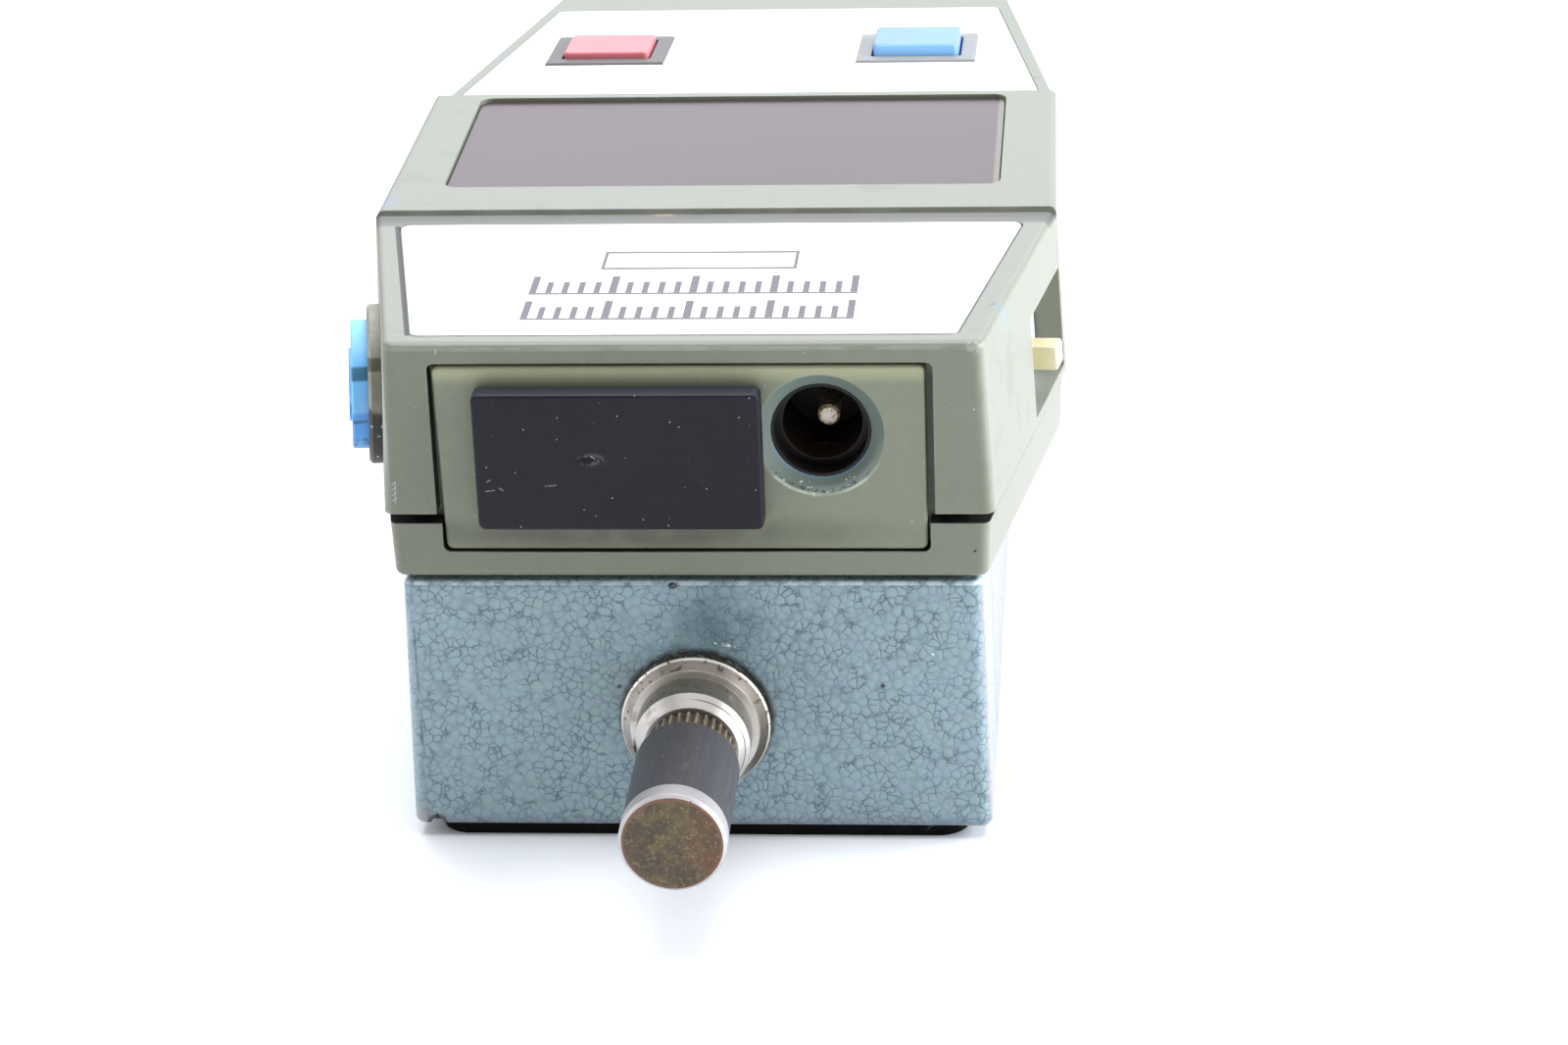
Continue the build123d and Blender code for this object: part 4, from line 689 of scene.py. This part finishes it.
def anvil_steel():
    """Pale rim and a brown working face with gold flecks inside a thin copper-coloured ring."""
    look = turned_steel("anvil_steel", (0.49, 0.47, 0.47), soil=0.12, roughness=0.42)
    face = look.fall(look.y, CONTACT_TIP + 0.02, CONTACT_TIP + 0.09)
    radius = look.axis_distance(0, 0)
    dark, brown, rust, gold = (
        (0.070, 0.055, 0.040, 1.0),
        (0.135, 0.098, 0.052, 1.0),
        (0.125, 0.060, 0.038, 1.0),
        (0.33, 0.245, 0.115, 1.0),
    )
    skin = look.mix(look.blotches(0.5, 0.38, 0.3, 5.0, 0.7), dark, brown)
    redder = look.times(look.spread(look.x, 0.5, 3.5), look.blotches(0.35, 0.42, 0.16))
    skin = look.mix(look.times(redder, 0.8), skin, rust)
    skin = look.mix(look.times(look.blotches(3.0, 0.50, 0.22, 4.0, 0.7), 0.6), skin, gold)
    skin = look.mix(look.times(look.blotches(0.8, 0.60, 0.1), 0.5), skin, dark)
    look.color = look.mix(face, look.color, skin)
    ring = look.times(look.spread(radius, ANVIL_RADIUS - 0.68, ANVIL_RADIUS - 0.5), face)
    look.tint((0.20, 0.095, 0.065), ring, look.spread(look.z, -4.0, 3.0, 0.45, 0.85))
    look.set("Roughness", look.spread(face, 0.0, 1.0, 0.56, 0.52))
    look.set("Metallic", look.spread(face, 0.0, 1.0, 1.0, 0.55))
    return look.done()


def blackened_steel():
    """Dark finish on the sleeve, rubbed grey in patches, with faint brown and dust."""
    look = Look("blackened_steel", (0.070, 0.067, 0.073), 0.42, 0.35)
    streak = look.noise(1.0, 4.0, at=look.stretched((2.2, 0.10, 2.2)))
    look.shade(look.spread(streak, 0.3, 0.7, 0.90, 1.12))
    brown = look.times(look.fall(look.x, 0.8, 3.0), look.blotches(0.4, 0.44, 0.2))
    look.tint((0.075, 0.062, 0.050), brown, 0.35)
    worn = look.blotches(0.7, 0.60, 0.14)
    look.tint((0.20, 0.20, 0.20), worn, 0.25)
    look.tint((0.62, 0.61, 0.58), look.specks(1.5, 0.09, 0.50))
    look.tint((0.38, 0.38, 0.38), look.edge(0.15), 0.5)
    look.bump(streak, 0.008, soft=0.12)
    look.set("Roughness", look.spread(worn, 0.0, 1.0, 0.42, 0.55))
    return look.done()


def knurl_steel():
    """Brown soiled grip whose tooth tips and front edge are rubbed bright."""
    look = Look("knurl_steel", (0.23, 0.175, 0.115), 0.42, 1.0)
    look.vary(per_mm=0.8, by=0.25, detail=4.0)
    tips = look.spread(look.axis_distance(0, 0), KNURL_RADIUS - 0.16, KNURL_RADIUS - 0.03)
    look.tint((0.62, 0.55, 0.46), tips, look.uneven(0.8, 0.25, 0.9, detail=3.0, start=0.35))
    front = look.fall(look.y, SLEEVE_REAR + 0.2, SLEEVE_REAR + 0.4)
    look.tint((0.92, 0.90, 0.86), front, 0.85)
    look.tint((0.05, 0.035, 0.02), look.blotches(1.2, 0.56, 0.1), 0.7)
    look.bump(look.noise(3.0, 3.0), 0.01, soft=0.05)
    return look.done()


def cap_rubber():
    """Dusty blue-black rubber with lint, light specks and a small cut in the middle."""
    look = Look("cap_rubber", (0.0078, 0.0070, 0.0115), 0.52)
    look.set("Specular IOR Level", 0.23)
    dust = look.blotches(0.16, 0.42, 0.3, 5.0, 0.7)
    look.tint((0.05, 0.05, 0.062), dust, 0.14)
    look.tint((0.36, 0.36, 0.37), look.specks(0.9, 0.075, 0.44))
    look.tint((0.10, 0.10, 0.115), look.specks(1.6, 0.06, 0.50))
    look.tint((0.075, 0.072, 0.095), look.edge(0.25), 0.45)
    look.tint((0.060, 0.062, 0.078), look.facing(UP), 0.5)
    front = low("connector_cap").y
    cut = look.stroke((-10.3, front, 28.3), (-8.3, front, 28.45), 0.08, 0.12)
    hole = look.spot((-9.15, front, 28.4), 0.26, 0.12, (0.45, 1.0, 1.0))
    halo = look.spot((-8.6, front, 28.45), 0.35, 0.5, (0.5, 1.0, 1.0))
    look.tint((0.11, 0.11, 0.12), halo, look.blotches(2.6, 0.46, 0.1), 0.6)
    look.tint((0.0005, 0.0005, 0.0008), look.most(cut, hole))
    for start, end in CAP_SCRATCHES:
        mark = look.stroke((start[0], front, start[1]), (end[0], front, end[1]), 0.03, 0.05)
        look.tint((0.40, 0.40, 0.42), mark, look.blotches(2.0, 0.40, 0.1), 0.6)
    height = look.math("ADD", look.noise(6.0, 3.0), look.times(look.noise(0.8, 2.0), 0.6))
    look.bump(height, 0.010, soft=0.15)
    look.set("Roughness", look.spread(dust, 0.0, 1.0, 0.48, 0.62))
    return look.done()


def black_plastic():
    """Black moulding with faint brown dust, with painted light that makes the lower wall of the
    jack's bore lighter and browner.
    """
    look = Look("black_plastic", (0.0095, 0.0084, 0.0078), 0.45)
    look.set("Specular IOR Level", 0.22)
    look.tint((0.016, 0.012, 0.009), look.blotches(0.5, 0.52, 0.2), 0.3)
    look.tint((0.20, 0.19, 0.17), look.specks(1.0, 0.05, 0.60))
    # Painted light: the lower wall of the jack's bore, which faces up to the opening, is lighter
    # and browner
    radius = look.axis_distance(JACK_X, JACK_Z)
    bore = look.fall(radius, JACK_BORE_RADIUS + 0.15, JACK_BORE_RADIUS + 0.3)
    bottom = look.fall(look.z, JACK_Z - 3.0, JACK_Z - 0.5)
    look.tint((0.060, 0.042, 0.032), bore, bottom, 0.8)
    look.bump(look.noise(6.0, 3.0), 0.006)
    return look.done()


def plated_metal(name, color, roughness):
    """Bright plating with rubbed patches and fine scratches."""
    look = Look(name, color, roughness, 1.0)
    look.vary(per_mm=1.6, by=0.16, detail=4.0)
    scratch = look.noise(1.0, 3.0, at=look.stretched((7.0, 0.8, 2.0)))
    look.tint((0.22, 0.18, 0.14), look.spread(scratch, 0.56, 0.66, 0.0, 0.5))
    look.bump(scratch, 0.008, soft=0.06)
    rubbed = look.noise(2.0, 3.0)
    look.set("Roughness", look.spread(rubbed, 0.3, 0.7, roughness - 0.08, roughness + 0.15))
    return look.done()


def jack_pin():
    """Worn cream-coloured tip with dark pits."""
    look = Look("jack_pin", (0.62, 0.50, 0.36), 0.45, 0.35)
    look.vary(per_mm=2.0, by=0.15)
    tip = (middle("supply_jack_pin").x - 0.05, low("supply_jack_pin").y, JACK_Z)
    look.tint((0.66, 0.60, 0.56), look.spot(tip, 0.3, 0.25))
    look.tint((0.10, 0.07, 0.05), look.blotches(3.2, 0.56, 0.05, 2.0), 0.8)
    look.bump(look.noise(4.0, 3.0), 0.03, soft=0.05)
    return look.done()


def white_plate(name):
    """White enamelled plate with faint grey handling and soiled edges."""
    look = Look(name, (0.80, 0.80, 0.82), 0.42)
    look.vary(per_mm=0.05, by=0.015)
    look.tint((0.52, 0.52, 0.49), look.blotches(0.35, 0.60, 0.2, 5.0, 0.7), 0.12)
    look.tint((0.28, 0.28, 0.25), look.edge(0.2), look.blotches(0.8, 0.48, 0.15), 0.6)
    look.tint((0.30, 0.29, 0.27), look.specks(0.5, 0.045, 0.62))
    look.bump(look.noise(2.0, 3.0), 0.006)
    return look


def front_label():
    """White plate with two plain tick scales and an empty outlined box in grey print."""
    look = white_plate("label_white")
    for y in SCALE_ROWS:
        look.tint(INK, tick_scale(look, y), INK_SHARE)
    inner = BOX_HALF - BOX_SIDE_LINE
    box = look.times(look.band(look.x, -BOX_HALF, BOX_HALF), look.band(look.y, BOX_NEAR, BOX_FAR))
    hollow = look.times(
        look.band(look.x, -inner, inner),
        look.band(look.y, BOX_NEAR + BOX_CROSS_LINE, BOX_FAR - BOX_CROSS_LINE),
    )
    look.tint(BOX_INK, look.math("SUBTRACT", box, hollow, clamp=True), INK_SHARE)
    return look.done()


def tick_scale(look, y):
    """A row of ticks on a line across the label, each fifth one thicker and at full height."""
    end = SCALE_HALF + 0.3
    within = look.times(look.band(look.x, -end, end), look.spread(look.z, 38.9, 39.1))
    from_tick = look.math("PINGPONG", look.x, TICK_PITCH / 2)
    from_fifth = look.math("PINGPONG", look.x, TICK_PITCH * 2.5)
    any_tick = look.fall(from_tick, TICK_HALF, TICK_HALF + 0.06)
    fifth = look.fall(from_fifth, LONG_TICK_HALF, LONG_TICK_HALF + 0.06)
    short = look.times(any_tick, look.band(look.y, y, y + SCALE_HEIGHT * 0.65))
    tall = look.times(fifth, look.band(look.y, y, y + SCALE_HEIGHT))
    base = look.band(look.y, y - 0.5, y - 0.05)
    return look.times(look.most(short, tall, base), within)


def dark_window():
    """Satin dark red filter with dust, greyer along its edges."""
    look = Look("window_red", (0.050, 0.026, 0.036), 0.27)
    look.vary(per_mm=0.06, by=0.04)
    right = look.spread(look.x, WINDOW_HIGH.x - 0.75, WINDOW_HIGH.x - 0.45)
    look.tint((0.16, 0.155, 0.11), right, 0.85)
    left = look.fall(look.x, WINDOW_LOW.x + 0.1, WINDOW_LOW.x + 0.35)
    rear = look.spread(look.y, WINDOW_HIGH.y - 0.9, WINDOW_HIGH.y - 0.3)
    look.tint((0.035, 0.04, 0.025), look.most(left, rear), 0.6)
    look.tint((0.30, 0.28, 0.28), look.specks(0.6, 0.04, 0.62))
    look.bump(look.noise(0.5, 3.0), 0.0012)
    look.set("Specular IOR Level", 0.40)
    return look.done()


def glossy_key(name, color, dirt=0.2):
    """Moulded key with rubbed pale edges and soil in patches."""
    look = Look(name, color, 0.42)
    look.vary(per_mm=0.3, by=0.05)
    look.tint(tuple(0.25 * c + 0.01 for c in color), look.blotches(0.6, 0.56, 0.14, 5.0, 0.7), dirt)
    look.tint(tuple(0.5 + 0.5 * c for c in color), look.edge(0.3), 0.3)
    look.tint((0.04, 0.04, 0.04), look.specks(1.2, 0.06, 0.62))
    look.bump(look.noise(4.0, 3.0), 0.006, soft=0.15)
    return look


def blue_key():
    """Blue key, with painted light that makes its front side paler than its top."""
    look = glossy_key("key_blue", (0.15, 0.28, 0.78))
    # Painted light: the front side is paler
    look.tint((0.27, 0.60, 0.95), look.facing(FRONT), 0.85)
    return look.done()


def side_key():
    """The round button's blue, darker on its lower half, with oily spots near its front edge."""
    look = glossy_key("side_blue", (0.185, 0.53, 0.95), 0.15)
    lower = look.fall(look.z, RING_Z - 0.8, RING_Z - 0.2)
    look.tint((0.045, 0.27, 0.72), lower, 0.8)
    start = low("side_button").y
    edge = look.spread(look.y, start + 2.0, start + 3.5, 1.0, 0.15)
    for z, size, strength in SIDE_SPOTS:
        off = look.math("ABSOLUTE", look.math("SUBTRACT", look.z, z))
        dot = look.fall(off, size * 0.6, size)
        broken = look.blotches(0.7, 0.36, 0.2) if size < 0.5 else 1.0
        look.tint((0.006, 0.075, 0.11), dot, broken, edge, strength)
    return look.done()


def knob_cream():
    """Cream knob, yellower and soiled at its foot."""
    look = glossy_key("knob_cream", (0.72, 0.66, 0.42))
    end = high("slide_switch_knob").x
    foot = look.fall(look.x, end - 2.4, end - 0.8)
    look.tint((0.55, 0.46, 0.20), foot, 0.55)
    return look.done()


def ring_metal():
    """Plain grey nut, pale above and darkened below by painted shade, with pale specks there."""
    look = Look("ring_grey", (0.25, 0.245, 0.190), 0.5, 0.1)
    look.vary(per_mm=0.6, by=0.12, detail=4.0)
    # Painted shade: below a wavy line the nut is nearly black, as it turns away from the top lamp
    wavy = look.math("ADD", look.z, look.times(look.noise(0.6, 4.0), 3.0))
    below = look.fall(wavy, RING_Z + 1.4, RING_Z + 2.2)
    look.tint((0.017, 0.014, 0.009), below, 0.95)
    look.tint((0.50, 0.48, 0.42), below, look.specks(1.1, 0.22, 0.44))
    spot = look.band(look.z, RING_Z + 4.1, RING_Z + 4.9, 0.3)
    look.tint((0.05, 0.055, 0.025), spot, 0.85)
    look.tint((0.55, 0.55, 0.52), look.edge(0.2), 0.3)
    look.bump(look.noise(2.5, 4.0), 0.015)
    return look.done()


def bezel_plastic():
    """Grey key frames, much darker and soiled round the red key on the left."""
    look = moulded_plastic("bezel_grey", (0.21, 0.215, 0.21), (0.30, 0.30, 0.29))
    left = look.fall(look.x, -0.5, 0.5)
    look.tint((0.075, 0.072, 0.070), left, 0.85)
    return look.done()


def black_paint():
    """Matt black paint with faint brown soil, grey rubs and a paler upper edge."""
    look = Look("black_plate", (0.0030, 0.0028, 0.0028), 0.6)
    look.set("Specular IOR Level", 0.08)
    look.tint((0.014, 0.013, 0.013), look.blotches(0.3, 0.5, 0.2), 0.3)
    look.tint((0.10, 0.10, 0.10), look.edge(0.3), look.facing(UP), 0.4)
    look.tint((0.25, 0.25, 0.25), look.hairs(0.08, 0.08, 0.56), 0.5)
    look.bump(look.noise(4.0, 3.0), 0.02, soft=0.2)
    return look.done()


def plate_screw():
    """Dark screw heads with a cross recess, drawn on all four at once from the plate's middle."""
    look = Look("plate_screw", (0.10, 0.10, 0.105), 0.4, 1.0)
    look.vary(per_mm=1.2, by=0.2, detail=4.0)
    box_low, box_high = low("back_plate_screws"), high("back_plate_screws")
    centre = (box_low + box_high) / 2
    offsets = (box_high - box_low) / 2
    head, arm_half, arm_reach = 2.4, 0.28, 1.4
    off_x = look.math("ABSOLUTE", look.math("SUBTRACT", look.x, centre.x))
    off_y = look.math("ABSOLUTE", look.math("SUBTRACT", look.y, centre.y))
    across = look.math("SUBTRACT", off_x, offsets.x - head)
    along = look.math("SUBTRACT", off_y, offsets.y - head)
    arms = look.most(
        look.times(look.band(across, -arm_half, arm_half), look.band(along, -arm_reach, arm_reach)),
        look.times(look.band(across, -arm_reach, arm_reach), look.band(along, -arm_half, arm_half)),
    )
    # Painted shade: the cross recess is only a bump, and is painted near black
    look.tint((0.004, 0.004, 0.004), arms)
    look.bump(look.math("SUBTRACT", 1.0, arms), 0.3, soft=0.05)
    return look.done()


def circuit_board():
    """Green board with tracks and pads under the mask."""
    look = Look("board_green", (0.015, 0.10, 0.035), 0.35)
    pitch = 1.27
    across = look.math("PINGPONG", look.x, pitch)
    along = look.math("PINGPONG", look.y, pitch)
    pick = look.spread(look.noise(0.12, 1.0), 0.49, 0.51)
    track = look.fall(look.blend(pick, across, along), 0.28, 0.36)
    look.tint((0.05, 0.22, 0.07), track, 0.6)
    pad = look.fall(look.most(across, along), 0.30, 0.36)
    look.tint((0.6, 0.55, 0.45), pad, look.blotches(0.2, 0.5, 0.02, 1.0))
    look.bump(track, 0.03)
    return look.done()


def grained(name, color, roughness, per_mm, by, depth):
    """A small inner part with a cloudy, finely grained surface."""
    look = Look(name, color, roughness)
    look.vary(per_mm=per_mm, by=by)
    look.bump(look.noise(3.0 * per_mm, 3.0), depth)
    return look.done()


def scale_glass():
    """Clear glass with a fine grating ruled across it."""
    look = Look("scale_glass", (0.85, 0.92, 0.92), 0.06)
    ruled = look.spread(look.math("PINGPONG", look.y, 0.25), 0.10, 0.14)
    look.tint((0.25, 0.28, 0.28), ruled, 0.3)
    look.vary(per_mm=0.5, by=0.04)
    look.set("Transmission Weight", 0.85)
    look.set("IOR", 1.5)
    return look.done()


def dress():
    """Gives every CAD node its look."""
    case = case_plastic()
    screw = plated_metal("screw_steel", (0.52, 0.51, 0.49), 0.34)
    black = black_plastic()
    board = circuit_board()
    looks = {
        "gauge_body": hammered_paint(),
        "back_plate": black_paint(),
        "back_plate_screws": plate_screw(),
        "stem_bush": stem_steel(),
        "spindle": spindle_steel(),
        "contact_base": knurl_steel(),
        "contact_sleeve": blackened_steel(),
        "contact_anvil": anvil_steel(),
        "rear_bush": plated_metal("bronze", (0.60, 0.42, 0.20), 0.38),
        "scale_carrier": plated_metal("alloy", (0.66, 0.67, 0.68), 0.4),
        "glass_scale": scale_glass(),
        "lower_case": case,
        "upper_case": case,
        "connector_panel": panel_plastic(),
        "connector_cap": cap_rubber(),
        "connector_pins": plated_metal("plated_pin", (0.78, 0.71, 0.62), 0.26),
        "supply_jack_pin": jack_pin(),
        "supply_jack_spring": plated_metal("tarnished_spring", (0.07, 0.055, 0.04), 0.5),
        "front_label": front_label(),
        "keypad_plate": white_plate("keypad_white").done(),
        "pocket_label": white_plate("pocket_white").done(),
        "display_window": dark_window(),
        "led_digits": grained("digit_red", (0.20, 0.012, 0.012), 0.25, 1.0, 0.15, 0.01),
        "board_chips": grained("chip_black", (0.025, 0.025, 0.026), 0.55, 2.0, 0.2, 0.02),
        "power_capacitor": grained("can_sleeve", (0.02, 0.035, 0.13), 0.3, 0.4, 0.15, 0.02),
        "button_bezels": bezel_plastic(),
        "red_button": glossy_key("key_red", (0.60, 0.16, 0.175)).done(),
        "blue_button": blue_key(),
        "side_button": side_key(),
        "slide_switch_knob": knob_cream(),
        "side_ring": ring_metal(),
    }
    for name in ("stem_nut", "guide_rod", "carrier_screw", "reading_head_screws", "case_screws",
                 "mounting_screws", "board_screws"):
        looks[name] = screw
    for name in ("reading_head", "output_connector", "supply_jack", "key_switches",
                 "slide_switch_body", "side_switch"):
        looks[name] = black
    for name in ("display_board", "main_board", "key_board"):
        looks[name] = board
    for name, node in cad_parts.items():
        node.data.materials.clear()
        node.data.materials.append(looks[name])


def make_floor():
    """Plain pale floor, at the height of the part's lowest face."""
    mesh = bpy.data.meshes.new("floor")
    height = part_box("back_plate")[0].z
    sides = (-FLOOR_HALF, FLOOR_HALF)
    mesh.from_pydata([(x, y, height) for x in sides for y in sides], [], [(0, 2, 3, 1)])
    floor = bpy.data.objects.new("floor", mesh)
    bpy.context.scene.collection.objects.link(floor)
    look = Look("floor", FLOOR_COLOR, 0.6)
    look.vary(per_mm=0.01, by=0.006)
    mesh.materials.append(look.done())


def make_light():
    """White surroundings and the soft panels of light."""
    world = bpy.data.worlds.new("room")
    bpy.context.scene.world = world
    world.use_nodes = True
    background = world.node_tree.nodes["Background"]
    background.inputs["Color"].default_value = (*WORLD_COLOR, 1)
    background.inputs["Strength"].default_value = WORLD_STRENGTH
    for panel in PANELS:
        add_panel(*panel)


def add_panel(name, place, target, width, height, power):
    """A flat soft light that faces a target."""
    light = bpy.data.lights.new(name, "AREA")
    light.shape = "RECTANGLE"
    light.size = width
    light.size_y = height
    light.energy = power
    light.color = LIGHT_COLOR
    panel = bpy.data.objects.new(name, light)
    panel.location = place
    way = [t - p for t, p in zip(target, place)]
    flat = math.hypot(way[0], way[1])
    panel.rotation_euler = (math.atan2(flat, -way[2]), 0, math.atan2(way[1], way[0]) - math.pi / 2)
    bpy.context.scene.collection.objects.link(panel)


def make_camera():
    """Camera at the place that the photograph was taken from."""
    camera = bpy.data.cameras.new("camera")
    camera.sensor_width = SENSOR_WIDTH
    camera.lens = FOCAL_PIXELS / PHOTO_WIDTH * SENSOR_WIDTH
    camera.clip_start = 0.01
    holder = bpy.data.objects.new("camera", camera)
    holder.location = CAMERA_PLACE
    holder.rotation_euler = [math.radians(a) for a in CAMERA_TURN]
    bpy.context.scene.collection.objects.link(holder)
    bpy.context.scene.camera = holder
    bpy.context.scene.view_settings.view_transform = "Standard"


make_camera()
make_floor()
make_light()
dress()
